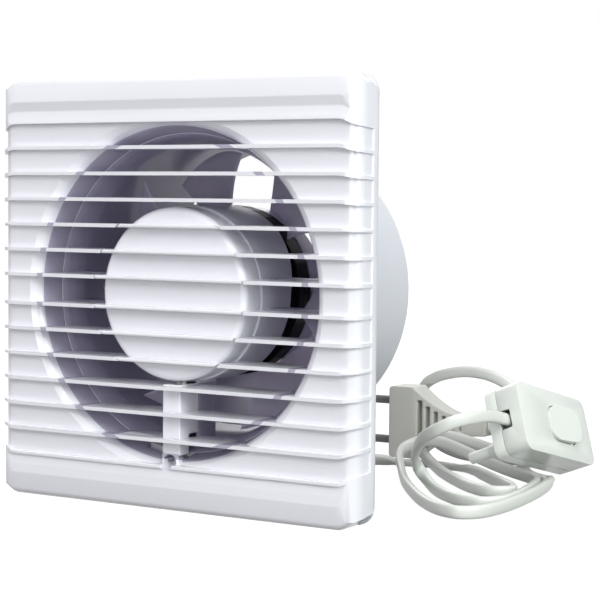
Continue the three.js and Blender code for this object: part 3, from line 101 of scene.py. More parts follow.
BLADE_COUNT = 7
IMPELLER_RADIUS = 58.6
IMPELLER_HUB_RADIUS = 35.0
IMPELLER_HUB_LENGTH = 12.5
BLADE_ROOT_RADIUS = 36.2  # clear of the motor
BLADE_THICKNESS = 1.5
BLADE_CAMBER = 3.2
HUB_FLOOR = 2.2
BOSS_RADIUS = 6.0
SHAFT_BORE = 2.52
WEB_COUNT = 6  # between the boss and the hub's rim

CORD_WIDTH = 5.4
CORD_THICKNESS = 3.4
RELIEF_LENGTH = 22.0
RELIEF_RINGS = 5
RELIEF_PITCH = 3.4

SWITCH_LENGTH = 60.0
SWITCH_WIDTH = 31.0
SWITCH_HEIGHT = 16.5
SWITCH_SEAM = 5.5
SWITCH_WALL = 1.5
SWITCH_CORNER = 4.5
SWITCH_EDGE = 1.3
SWITCH_BEVEL = 0.12
CORD_HOLE_WIDTH = 8.2
CORD_HOLE_HEIGHT = 5.4
ROCKER_LENGTH = 22.0
ROCKER_WIDTH = 16.0
ROCKER_CORNER = 6.0
ROCKER_WALL = 1.6
ROCKER_OFFSET = 5.5
ROCKER_RISE = 2.4
ROCKER_DEPTH = 4.0
ROCKER_ANGLE = 7.0
TRUNNION_RADIUS = 1.4
TRUNNION_DEPTH = 3.6

PLUG_WIDTH = 34.0
PLUG_THICKNESS = 13.7
PLUG_HEAD = 13.0
PLUG_TAPER = 24.0
PLUG_NECK = 12.5
NECK_RADIUS = 4.9
GROOVE_COUNT = 6
GROOVE_PITCH = 4.1
GROOVE_WIDTH = 2.5
GROOVE_STEP = 0.14  # each is this much narrower than the last
PLUG_WEB = 3.2  # what the grooves leave in the middle
PLUG_VOXEL = 0.34
PIN_SPACING = 19.0
PIN_RADIUS = 2.0

# mesh sizes
SIDES = 128  # of round solids
FINE_SIDES = 192  # of the large ones that show

# worked out from those above
HALF = FACE / 2
FRONT = -DEPTH
PLATE_FRONT = FRONT + FIN_PROUD
GRILLE_BACK = -BASE - GAP
RIM_FRONT = GRILLE_BACK - RIM_DEPTH
SEAT = GRILLE_BACK - 5.2  # depth of the grille screw's head
POCKET_RADIUS = 3.1  # the hole for that head
SHANK_RADIUS = 1.7  # the hole for its shank in the grille
THREAD_RADIUS = 1.55  # and in the housing
CUT_RADIUS = HUB_RADIUS + RIB_OVERHANG + SLIT
CHANNEL_WIDTH = 8.6
CHANNEL_FRONT = FRONT + HUB_SETBACK
SCREW_HEIGHT = -HOLE_RADIUS - 1.2
CRADLE_INNER = MOTOR_RADIUS + GAP
CRADLE_OUTER = CRADLE_INNER + CRADLE_WALL
SPIGOT_INNER = SPIGOT_RADIUS - SPIGOT_WALL
INLET_RADIUS = SPIGOT_INNER + INLET_FLARE
HUB_FRONT = CAN_END + 0.9
HUB_REAR = HUB_FRONT + IMPELLER_HUB_LENGTH
EXIT_X = 26.0
EXIT_Z = -HALF + 10
RELIEF_FLANGE = 5.4
PLUG_END = PLUG_HEAD + PLUG_TAPER + PLUG_NECK


def fin_height(k):
    return FIN_MIDDLE_GAP / 2 + k * FIN_PITCH


BAND_EDGE = fin_height(FIN_COUNT) - FIN / 2  # where the header and the footer start

# ---------------------------------------------------------------- frames
TO_METRES = Matrix.Scale(MM, 4)
FAN = TO_METRES @ Matrix.Translation((0, (DEPTH - SPIGOT_LENGTH) / 2, HALF))
PLUG = TO_METRES @ Matrix.Translation((13.3, 125, PLUG_WIDTH / 2 + 4))
SWITCH_ALONG = Vector((0.12208, 0.96441, -0.23455))
SWITCH_OUT = Vector((0.93194, -0.03008, 0.36138))


def switch_frame():
    across = SWITCH_OUT.cross(SWITCH_ALONG)
    basis = Matrix((SWITCH_ALONG, across, SWITCH_OUT)).transposed().to_4x4()
    return TO_METRES @ Matrix.Translation((90.92, 102.72, 22.23)) @ basis


SWITCH = switch_frame()
ROCKER_AXIS = SWITCH_HEIGHT - TRUNNION_DEPTH
ROCKER = (
    SWITCH
    @ Matrix.Translation((ROCKER_OFFSET, 0, ROCKER_AXIS))
    @ Matrix.Rotation(-math.radians(ROCKER_ANGLE), 4, "Y")
)

# ---------------------------------------------------------------- camera
CAMERA_PLACE = (0.419381, -0.631046, 0.126469)
CAMERA_RIGHT = Vector((0.85401, 0.52018, 0.00931))
CAMERA_UP = Vector((-0.03729, 0.04335, 0.99836))
CAMERA_LENS = 107.8  # millimetres, on a sensor 36 mm wide


def make_camera():
    data = bpy.data.cameras.new("camera")
    data.lens = CAMERA_LENS
    data.sensor_width = 36
    data.clip_start = 0.01
    camera = bpy.data.objects.new("camera", data)
    back = CAMERA_RIGHT.cross(CAMERA_UP)
    turn = Matrix((CAMERA_RIGHT, CAMERA_UP, back)).transposed().to_4x4()
    camera.matrix_world = Matrix.Translation(CAMERA_PLACE) @ turn
    bpy.context.scene.collection.objects.link(camera)
    bpy.context.scene.camera = camera


make_camera()


# ---------------------------------------------------------------- materials
class Shader:
    """A material under construction: its node tree and its main shader."""

    def __init__(self, name):
        self.material = bpy.data.materials.new(name)
        self.material.use_nodes = True
        self.tree = self.material.node_tree
        self.surface = self.tree.nodes["Principled BSDF"]
        self.place = self.node("ShaderNodeTexCoord").outputs["Object"]

    def node(self, kind, **values):
        made = self.tree.nodes.new(kind)
        for key, value in values.items():
            setattr(made, key, value)
        return made

    def link(self, start, end):
        self.tree.links.new(start, end)

    def noise(self, scale, detail=3.0, roughness=0.5):
        made = self.node("ShaderNodeTexNoise")
        made.inputs["Scale"].default_value = scale
        made.inputs["Detail"].default_value = detail
        made.inputs["Roughness"].default_value = roughness
        self.link(self.place, made.inputs["Vector"])
        return made.outputs["Fac"]

    def maths(self, operation, first, second, kind="ShaderNodeMath"):
        """What a maths node makes of a socket and of a second socket or a value."""
        made = self.node(kind, operation=operation)
        self.link(first, made.inputs[0])
        if isinstance(second, bpy.types.NodeSocket):
            self.link(second, made.inputs[1])
        else:
            made.inputs[1].default_value = second
        return made.outputs[0]

    def ranged(self, source, *limits):
        """Maps a socket from the first two limits to the last two."""
        made = self.node("ShaderNodeMapRange")
        for key, value in zip(("From Min", "From Max", "To Min", "To Max"), limits):
            made.inputs[key].default_value = value
        self.link(source, made.inputs["Value"])
        return made.outputs["Result"]

    def spread(self, source, low, high):
        """Maps a noise, which stays near 0.5, to the range low to high."""
        return self.ranged(source, 0.3, 0.7, low, high)

    def blend(self, factor, first, second):
        made = self.node("ShaderNodeMix", data_type="RGBA")
        made.inputs["A"].default_value = (*first, 1)
        made.inputs["B"].default_value = (*second, 1)
        self.link(factor, made.inputs["Factor"])
        return made.outputs["Result"]

    def mottled(self, factor, colour, variation):
        """The colour, from a little darker to a little lighter."""
        return self.blend(factor, shade(colour, -variation), shade(colour, variation))

    def bump(self, height, distance):
        made = self.node("ShaderNodeBump")
        made.inputs["Distance"].default_value = distance
        made.inputs["Strength"].default_value = 1.0
        self.link(height, made.inputs["Height"])
        self.link(made.outputs["Normal"], self.surface.inputs["Normal"])


def shade(colour, amount):
    return tuple(min(1.0, c * (1 + amount)) for c in colour)


FLOW_SCALE = 28  # flow marks in moulded plastic
GLOSS_SCALE = 45
GRAIN_SCALE = 1400
GRAIN = 0.0015  # depth of the surface grain, in millimetres
COAT_ROUGHNESS = 0.08


def moulded(s, roughness, grain=GRAIN, grain_scale=GRAIN_SCALE, coat=0.0, ior=1.5):
    """Gives plastic its uneven gloss, its coat and its fine surface grain."""
    gloss = s.spread(s.noise(GLOSS_SCALE, 2), roughness * 0.98, roughness * 1.02)
    s.link(gloss, s.surface.inputs["Roughness"])
    s.bump(s.noise(grain_scale, 2), grain * MM)
    s.surface.inputs["Coat Weight"].default_value = coat
    s.surface.inputs["Coat Roughness"].default_value = COAT_ROUGHNESS
    s.surface.inputs["IOR"].default_value = ior
    return s.material


def plastic(name, colour, roughness, grain=GRAIN, variation=0.02, coat=0.0, grain_scale=GRAIN_SCALE, ior=1.5):
    """Moulded plastic with faint flow marks in its colour."""
    s = Shader(name)
    flow = s.spread(s.noise(FLOW_SCALE, 4), 0, 1)
    s.link(s.mottled(flow, colour, variation), s.surface.inputs["Base Color"])
    return moulded(s, roughness, grain, grain_scale, coat, ior)


def plastic_with_painted_shade(name, outside, inside, roughness, near, depths, radii, coat=0.0, ior=1.5, variation=0.008):
    """Plastic with painted shade: a darker grey where the duct's inside lies in shade, from radius near round
    the fan's axis out to a radius that goes from the first to the second of radii between the two depths, all
    in the fan's millimetres."""
    s = Shader(name)
    from_axis = s.maths("SUBTRACT", s.place, (0, 0, HALF * MM), "ShaderNodeVectorMath")
    across = s.maths("MULTIPLY", from_axis, (1, 0, 1), "ShaderNodeVectorMath")
    distance = s.node("ShaderNodeVectorMath", operation="LENGTH")
    s.link(across, distance.inputs[0])
    radius = distance.outputs["Value"]
    depth = s.node("ShaderNodeSeparateXYZ")
    s.link(s.place, depth.inputs[0])
    wall_face = (DEPTH - SPIGOT_LENGTH) / 2
    limits = (wall_face + depths[0], wall_face + depths[1], *radii)
    # The painted shade's mask: inside the duct, out from radius near to a radius that widens between the
    # depths.
    within = s.maths("LESS_THAN", radius, s.ranged(depth.outputs["Y"], *(limit * MM for limit in limits)))
    beyond = s.maths("GREATER_THAN", radius, near * MM)
    pick = s.node("ShaderNodeMix", data_type="RGBA")
    s.link(s.maths("MULTIPLY", within, beyond), pick.inputs["Factor"])
    flow = s.spread(s.noise(FLOW_SCALE, 4), 0, 1)
    # Colour A is the plastic's own; colour B, inside, is the painted shade.
    for side, colour in (("A", outside), ("B", inside)):
        s.link(s.mottled(flow, colour, variation), pick.inputs[side])
    s.link(pick.outputs["Result"], s.surface.inputs["Base Color"])
    return moulded(s, roughness, coat=coat, ior=ior)


def metal(name, colour, roughness, grain=0.002, variation=0.08):
    s = Shader(name)
    cloud = s.spread(s.noise(350, 4), 0, 1)
    s.link(s.mottled(cloud, colour, variation), s.surface.inputs["Base Color"])
    s.link(s.spread(s.noise(700, 3), roughness * 0.7, roughness * 1.3), s.surface.inputs["Roughness"])
    s.bump(s.noise(2500, 2), grain * MM)
    s.surface.inputs["Metallic"].default_value = 1.0
    return s.material


def winding(name, colour):
    """Enamelled wire: fine parallel ridges."""
    s = Shader(name)
    wave = s.node("ShaderNodeTexWave", bands_direction="Y")
    wave.inputs["Scale"].default_value = 900
    wave.inputs["Distortion"].default_value = 1.2
    s.link(s.place, wave.inputs["Vector"])
    ridges = wave.outputs["Fac"]
    s.link(s.blend(ridges, shade(colour, -0.5), shade(colour, 0.2)), s.surface.inputs["Base Color"])
    s.bump(ridges, 0.2 * MM)
    s.surface.inputs["Metallic"].default_value = 0.9
    s.surface.inputs["Roughness"].default_value = 0.35
    return s.material


LOOKS = {
    "white_gloss": plastic("white_abs", (0.80, 0.80, 0.85), 0.2, coat=0.25, variation=0.006),
    # The grille's mouth and the housing's inside get a darker, bluer grey: painted shade inside the duct.
    "grille_white_painted_shade": plastic_with_painted_shade(
        "white_abs_grille_painted_shade", (0.80, 0.80, 0.85), (0.40, 0.38, 0.48), 0.2, INLET_RADIUS - 1,
        (PLATE_FRONT + 3.6, PLATE_FRONT + 4.2), (HOLE_RADIUS, HOLE_RADIUS + 2), coat=0.25),
    "housing_white_painted_shade": plastic_with_painted_shade(
        "white_abs_housing_painted_shade", (0.72, 0.73, 0.79), (0.38, 0.36, 0.48), 0.42, CRADLE_OUTER + 1,
        (0, 9), (INLET_RADIUS + 0.2, SPIGOT_INNER + 0.9), ior=1.35),
    # The impeller's white plastic is given a darker, purple grey: painted shade for its place inside the
    # duct.
    "white_satin": plastic("impeller_white_painted_shade", (0.60, 0.56, 0.71), 0.33, variation=0.01),
    "switch_white": plastic("switch_white", (0.74, 0.77, 0.73), 0.3, coat=0.1, variation=0.01),
    "off_white": plastic("off_white_nylon", (0.77, 0.79, 0.75), 0.35),
    "cord_plastic": plastic("cord_sheath", (0.70, 0.72, 0.68), 0.36, grain=0.012, grain_scale=700),
    "plug_grey": plastic(
        "plug_grey_vinyl", (0.62, 0.62, 0.58), 0.45, grain=0.02, variation=0.03, grain_scale=900),
    "sleeve_grey": plastic("sleeve_nylon", (0.15, 0.15, 0.15), 0.4),
    "black_paint": plastic("motor_black", (0.004, 0.004, 0.006), 0.5, grain=0.01, ior=1.3),
    "steel": metal("bare_steel", (0.36, 0.37, 0.38), 0.35),
    "zinc": metal("zinc_plate", (0.5, 0.52, 0.55), 0.3),
    "brass": metal("bare_brass", (0.55, 0.38, 0.12), 0.3),
    "bronze": metal("sintered_bronze", (0.28, 0.18, 0.08), 0.5, grain=0.006),
    "copper": winding("copper_wire", (0.5, 0.16, 0.05)),
}


# ---------------------------------------------------------------- solids
def as_object(bm, name="solid"):
    bmesh.ops.recalc_face_normals(bm, faces=bm.faces)
    mesh = bpy.data.meshes.new(name)
    bm.to_mesh(mesh)
    bm.free()
    obj = bpy.data.objects.new(name, mesh)
    bpy.context.scene.collection.objects.link(obj)
    return obj


def fillet(corners, steps=5):
    """An outline from [x, y, radius] corners, each rounded by its radius."""
    points = []
    count = len(corners)
    for i, (x, y, radius) in enumerate(corners):
        here = Vector((x, y))
        if radius <= 0:
            points.append(here)
            continue
        back = Vector(corners[i - 1][:2]) - here
        ahead = Vector(corners[(i + 1) % count][:2]) - here
        half = back.angle(ahead) / 2
        reach = min(radius / math.tan(half), back.length * 0.499, ahead.length * 0.499)
        r = reach * math.tan(half)
        centre = here + (back.normalized() + ahead.normalized()).normalized() * (r / math.sin(half))
        start = here + back.normalized() * reach - centre
        end = here + ahead.normalized() * reach - centre
        sweep = start.angle_signed(end)
        for s in range(steps + 1):
            a = -sweep * s / steps
            turned_start = Vector((start.x * math.cos(a) - start.y * math.sin(a),
                                   start.x * math.sin(a) + start.y * math.cos(a)))
            points.append(centre + turned_start)
    return [(p.x, p.y) for p in points]


def rectangle(width, height, corner, steps=8):
    x, y = width / 2, height / 2
    return fillet([(-x, -y, corner), (x, -y, corner), (x, y, corner), (-x, y, corner)], steps)


def bevelled(bm, edges, width, steps):
    bmesh.ops.bevel(bm, geom=edges, offset=width, segments=steps, profile=0.5, affect="EDGES",
                    clamp_overlap=True)


def prism(outline, low, high, edge=0.0, steps=3, axis="Z", rounded=None):
    """An outline in X and Y extruded along Z, in X and Z along Y, or in Y and Z along X, with round rims."""
    bm = bmesh.new()
    bottom = [bm.verts.new((x, y, low)) for x, y in outline]
    top = [bm.verts.new((x, y, high)) for x, y in outline]
    bm.faces.new(bottom)
    bm.faces.new(top)
    for i in range(len(outline)):
        j = (i + 1) % len(outline)
        bm.faces.new((bottom[i], bottom[j], top[j], top[i]))
    if edge:
        levels = {"low": (low,), "high": (high,), None: (low, high)}[rounded]
        rims = [e for e in bm.edges if any(all(v.co.z == level for v in e.verts) for level in levels)]
        bevelled(bm, rims, edge, steps)
    order = {"Z": (0, 1, 2), "Y": (0, 2, 1), "X": (2, 0, 1)}[axis]
    for v in bm.verts:
        v.co = Vector([v.co[k] for k in order])
    return as_object(bm)


def block(x0, y0, z0, x1, y1, z1, edge=0.0):
    bm = bmesh.new()
    bmesh.ops.create_cube(bm, size=1)
    for v in bm.verts:
        v.co = Vector((x1 if v.co.x > 0 else x0, y1 if v.co.y > 0 else y0, z1 if v.co.z > 0 else z0))
    if edge:
        bevelled(bm, bm.edges[:], edge, 3)
    return as_object(bm)


def turned(profile, segments=SIDES):
    """A closed outline of (radius, depth) points turned round the Y axis."""
    bm = bmesh.new()
    rings = []
    for k in range(segments):
        a = math.tau * k / segments
        rings.append([bm.verts.new((r * math.sin(a), y, r * math.cos(a))) for r, y in profile])
    for k in range(segments):
        here, there = rings[k], rings[(k + 1) % segments]
        for i in range(len(profile)):
            j = (i + 1) % len(profile)
            if max(profile[i][0], profile[j][0]) > 1e-6:
                bm.faces.new((here[i], here[j], there[j], there[i]))
    bmesh.ops.remove_doubles(bm, verts=bm.verts, dist=1e-5)
    return as_object(bm)


def rod(radius, y0, y1, segments=48, edge=0.0):
    return turned(fillet([(0, y0, 0), (radius, y0, edge), (radius, y1, edge), (0, y1, 0)]), segments)


def tube(outer, inner, y0, y1, segments=SIDES, edge=0.0):
    corners = [(inner, y0, edge), (outer, y0, edge), (outer, y1, edge), (inner, y1, edge)]
    return turned(fillet(corners, 3), segments)


def moved(obj, x=0.0, y=0.0, z=0.0):
    obj.data.transform(Matrix.Translation((x, y, z)))
    return obj


def spun(obj, degrees, axis="Y"):
    obj.data.transform(Matrix.Rotation(math.radians(degrees), 4, axis))
    return obj


def copied(obj):
    twin = bpy.data.objects.new(obj.name, obj.data.copy())
    bpy.context.scene.collection.objects.link(twin)
    return twin


def mirrored(obj, axis):
    """A mirror image of a solid, through the plane across that axis."""
    twin = copied(obj)
    scale = [-1 if name == axis else 1 for name in "XYZ"]
    twin.data.transform(Matrix.Diagonal((*scale, 1)))
    twin.data.flip_normals()
    return twin


def combined(target, tools, operation):
    """The first solid joined with, cut by or limited to the others, which are used up."""
    for tool in tools:
        step = target.modifiers.new("step", "BOOLEAN")
        step.solver = "MANIFOLD"
        step.operation = operation
        step.object = tool
    applied(target)
    for tool in tools:
        bpy.data.objects.remove(tool)
    return target


def applied(obj):
    """The object with its modifiers made part of its mesh."""
    shown = obj.evaluated_get(bpy.context.evaluated_depsgraph_get())
    mesh = bpy.data.meshes.new_from_object(shown)
    obj.modifiers.clear()
    obj.data = mesh
    return obj


def joined(first, *others):
    return combined(first, others, "UNION")


def cut(body, *tools):
    return combined(body, tools, "DIFFERENCE")


def shared(first, second):
    return combined(first, (second,), "INTERSECT")


def finished(obj, look, sharp):
    """Smooth between its sharp edges, and with its look."""
    for face in obj.data.polygons:
        face.use_smooth = True
    obj.data.set_sharp_from_angle(angle=math.radians(sharp))
    obj.data.materials.clear()
    obj.data.materials.append(LOOKS[look])


def piece(obj, name, look, slot, where, body, *replaced, sharp=38, bevel=0.0):
    """A whole piece: named, placed in metres, given its look and carried by its body."""
    obj.name = obj.data.name = name
    obj.data.transform(where)
    if bevel:
        soften = obj.modifiers.new("soften", "BEVEL")
        soften.width = bevel * MM
        soften.segments = 2
        soften.limit_method = "ANGLE"
        soften.angle_limit = math.radians(sharp)
        soften.use_clamp_overlap = True
        applied(obj)
    finished(obj, look, sharp)
    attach(obj, body)
    if replaced:
        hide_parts(*replaced)
    return obj


# ---------------------------------------------------------------- cord
# Each point is [x, y, z, roll in degrees] along the cord's middle; its width stands upright at roll 0.
FAN_SIDE_ROUTE = [
    [26, -5.7, 10, 0], [26, 5, 9.2, 0], [25, 17, 6, 0], [20.5, 33, 3.4, 0], [12.5, 50, 2.9, 0],
    [4, 67, 2.9, 0], [-1.5, 83, 2.9, 0], [-1, 97, 2.9, 0], [5, 106.5, 3, 0], [13, 112.4, 3.2, 30],
    [20.5, 116.2, 2.2, 82], [28, 119.4, 1.85, 90], [36.5, 121, 1.85, 90], [46, 119.4, 1.85, 90],
    [54.5, 114.8, 2.3, 75], [63, 107.8, 3.1, 40], [72, 99.3, 3.1, 10], [82, 89.6, 2.9, 0],
    [92, 80, 2.9, 0], [99.2, 72.2, 2.9, 0], [102.6, 65.6, 2.9, 0], [100.8, 60.2, 2.9, 0],
    [95, 58.6, 2.9, 0], [83, 65.2, 2.9, 0], [66, 81.6, 3, 0], [52.5, 96.2, 3.4, 0],
    [44.5, 105.3, 4.3, 0], [38, 111.4, 6.2, 0], [32.8, 114.6, 10.1, 0], [34, 115.4, 14.6, 0],
    [40.5, 115.4, 16.9, 0], [49, 115.2, 16.6, 0], [60, 115, 14.4, 0], [72, 114.6, 12.2, 0],
    [81, 116.4, 12, 0], [87, 121.5, 14.3, 0], [88.2, 128, 19.2, 0], [84.3, 131.5, 27, 0],
    [79, 129.5, 35.5, 0], [72.5, 127, 40.9, 0], [62, 127, 45, 0], [49.5, 128.5, 46, 0],
    [37.7, 130.5, 44, 0], [29.7, 133.8, 41.3, 0], [23, 137.2, 37.3, 0], [18.8, 140, 30.5, 0],
    [18, 142, 22.5, 0], [20.2, 145, 14, 0], [26, 148, 7.5, 0], [36, 150, 3.6, 0], [50, 150.5, 2.9, 0],
    [66, 151, 2.9, 0], [80, 153.5, 3.1, 0], [91, 155.5, 5.2, 0], [98.6, 153.3, 8.6, 0],
    [102.4, 147.5, 11.8, 10], [103.5, 141, 15.2, 22], [102.6, 134, 17.5, 22], [101.7, 126.8, 19.3, 22],
]
PLUG_SIDE_ROUTE = [
    [95.55, 78.3, 31.1, 22], [94.7, 71.6, 32.7, 22], [93.3, 60, 34.8, 10], [90.3, 50, 34.8, 0],
    [85.2, 43.6, 33.4, 0], [78.2, 42.2, 29.9, 0], [70.6, 45.2, 25.7, 0], [64.5, 50.5, 20.5, 0],
    [59.9, 57, 14.6, 0], [58.8, 62.6, 9.4, 0], [62.2, 62.6, 5.3, 0], [70.3, 54.5, 3, 0],
    [84.2, 39.5, 2.9, 0], [96, 31.6, 2.9, 0], [105.1, 30.5, 2.9, 0], [110, 36.5, 2.9, 0],
    [110.3, 50.4, 2.9, 0], [107.5, 70, 2.9, 0], [102.3, 91.5, 2.9, 0], [97.4, 100.4, 2.9, 0],
    [91.3, 104.6, 3.2, 0], [83.5, 106.4, 4.4, 0], [73.7, 107.3, 6.8, 0], [60, 109.4, 10.6, 0],
    [48.6, 109.8, 13.9, 0], [39.5, 109.9, 14.6, 0], [32.6, 108.3, 13.2, 0], [29.4, 103.6, 10.5, 0],
    [30.6, 97.7, 7.2, 0], [35.3, 90.5, 4.3, 0], [42.3, 79, 2.9, 0], [53, 61.5, 2.9, 0],
    [67.2, 41, 2.9, 0], [83.7, 20.3, 2.9, 0], [97.3, 7.9, 2.9, 0], [107, 5.2, 2.9, 0],
    [112.9, 11, 2.9, 0], [115.3, 24.1, 2.9, 0], [115, 43.9, 2.9, 0], [112.2, 68, 2.9, 0],
    [109.3, 84, 2.9, 0], [106.3, 96, 2.9, 10], [100.2, 107.4, 2.1, 80], [93.4, 112.8, 1.9, 90],
    [86.6, 116.6, 2.5, 80], [82, 121, 4.4, 50], [78.8, 125.3, 9, 25], [74.5, 126.8, 14.6, 10],
    [70.2, 125.9, 18.9, 0], [66.4, 125.05, 20.8, 0], [63.2, 125, 21, 0],
]
RING_STEP = 1.5  # between the rings of the sheath's mesh
SHEATH_SIDES = 20
EDGE_POWER, FACE_POWER = 0.8, 0.62  # below 1 they square the oval


def smooth_route(route, per_piece=12):
    """Centripetal Catmull-Rom curve through the route, as [point, roll] pairs."""
    points = [Vector(p[:3]) for p in route]
    ends = [2 * points[0] - points[1], *points, 2 * points[-1] - points[-2]]
    samples = []
    for i in range(len(points) - 1):
        p0, p1, p2, p3 = ends[i:i + 4]
        d0, d1, d2 = math.sqrt((p1 - p0).length), math.sqrt((p2 - p1).length), math.sqrt((p3 - p2).length)
        start = ((p1 - p0) / d0 - (p2 - p0) / (d0 + d1) + (p2 - p1) / d1) * d1
        end = ((p2 - p1) / d1 - (p3 - p1) / (d1 + d2) + (p3 - p2) / d2) * d1
        for k in range(per_piece):
            s = k / per_piece
            place = (p1 + start * s + (-3 * p1 + 3 * p2 - 2 * start - end) * s ** 2
                     + (2 * p1 - 2 * p2 + start + end) * s ** 3)
            roll = route[i][3] + (route[i + 1][3] - route[i][3]) * s * s * (3 - 2 * s)
            samples.append((place, roll))
    samples.append((points[-1], route[-1][3]))
    return samples


def evenly(samples, step):
    """The same curve with its points a steady step apart."""
    runs = [0.0]
    for (a, _), (b, _) in zip(samples, samples[1:]):
        runs.append(runs[-1] + (b - a).length)
    count = round(runs[-1] / step)
    out = []
    at = 0
    for k in range(count + 1):
        run = runs[-1] * k / count
        while at < len(runs) - 2 and runs[at + 1] < run:
            at += 1
        s = (run - runs[at]) / (runs[at + 1] - runs[at])
        (a, ra), (b, rb) = samples[at], samples[at + 1]
        out.append((a.lerp(b, s), ra + (rb - ra) * s))
    return out


def sheath_section():
    """The sheath's outline: nearly flat faces and full round edges."""
    w, t = CORD_WIDTH / 2, CORD_THICKNESS / 2
    points = []
    for k in range(SHEATH_SIDES):
        a = math.tau * (k + 0.5) / SHEATH_SIDES
        c, s = math.cos(a), math.sin(a)
        x = w * math.copysign(abs(c) ** EDGE_POWER, c)
        y = t * math.copysign(abs(s) ** FACE_POWER, s)
        points.append((x, y))
    return points


def make_cord(name, node, route):
    samples = evenly(smooth_route(route), RING_STEP)
    bm = bmesh.new()
    section = sheath_section()
    rings = []
    up = Vector((0, 0, 1))
    last = len(samples) - 1
    for i, (place, roll) in enumerate(samples):
        along = (samples[min(i + 1, last)][0] - samples[max(i - 1, 0)][0]).normalized()
        side = along.cross(up).normalized()
        tall = Matrix.Rotation(math.radians(roll), 3, along) @ side.cross(along)
        flat = along.cross(tall)
        rings.append([bm.verts.new(place + tall * x + flat * y) for x, y in section])
    for a, b in zip(rings, rings[1:]):
        for k in range(SHEATH_SIDES):
            j = (k + 1) % SHEATH_SIDES
            bm.faces.new((a[k], a[j], b[j], b[k]))
    bm.faces.new(rings[0])
    bm.faces.new(rings[-1])
    made = piece(as_object(bm), name, "cord_plastic", "cord_plastic", TO_METRES, "fan_body", node, sharp=60)


# ---------------------------------------------------------------- fan
def face_outline(inset, front, back, corner, steps=8):
    """The face seen from above, rounded at its two front corners."""
    x = HALF - inset
    return fillet([(-x, back, 0), (-x, front, corner), (x, front, corner), (x, back, 0)], steps)


def band_section(hollow):
    """Side view of the header or footer: a hollow on one side of the crease and a lean to a round rim."""
    lean = FRONT + CREASE_DROP
    crease = BAND_EDGE + CREASE_RISE
    front = [(FRONT + depth * COVE, BAND_EDGE + rise * CREASE_RISE, radius) for depth, rise, radius in hollow]
    return fillet([
        (GRILLE_BACK, BAND_EDGE, 0), (FRONT, BAND_EDGE, 0.4), *front, (FRONT, crease, 2),
        (lean, HALF, 3), (GRILLE_BACK, HALF, 0),
    ], 6)


def drooped(obj):
    """Bends the grille's edges towards the middle at the face's sides, most at its top and bottom."""
    bm = bmesh.new()
    bm.from_mesh(obj.data)
    start = HALF - DROOP_WIDTH
    bends = 5
    for k in range(bends):
        for side in (-1, 1):
            everything = bm.verts[:] + bm.edges[:] + bm.faces[:]
            bmesh.ops.bisect_plane(bm, geom=everything, dist=1e-4, plane_no=(1, 0, 0),
                                   plane_co=(side * (start + DROOP_WIDTH * k / bends), 0, 0))
    for v in bm.verts:
        t = max(0.0, (abs(v.co.x) - start) / DROOP_WIDTH)
        aside = min(1.0, t) ** 2 * (3 - 2 * min(1.0, t))
        deep = 0.65 + 0.35 * min(1.0, max(0.0, (v.co.y - FRONT) / 14))
        v.co.z -= math.copysign(FIN_DROOP * (v.co.z / HALF) ** 2 * aside * deep, v.co.z)
    bm.to_mesh(obj.data)
    bm.free()
    return obj


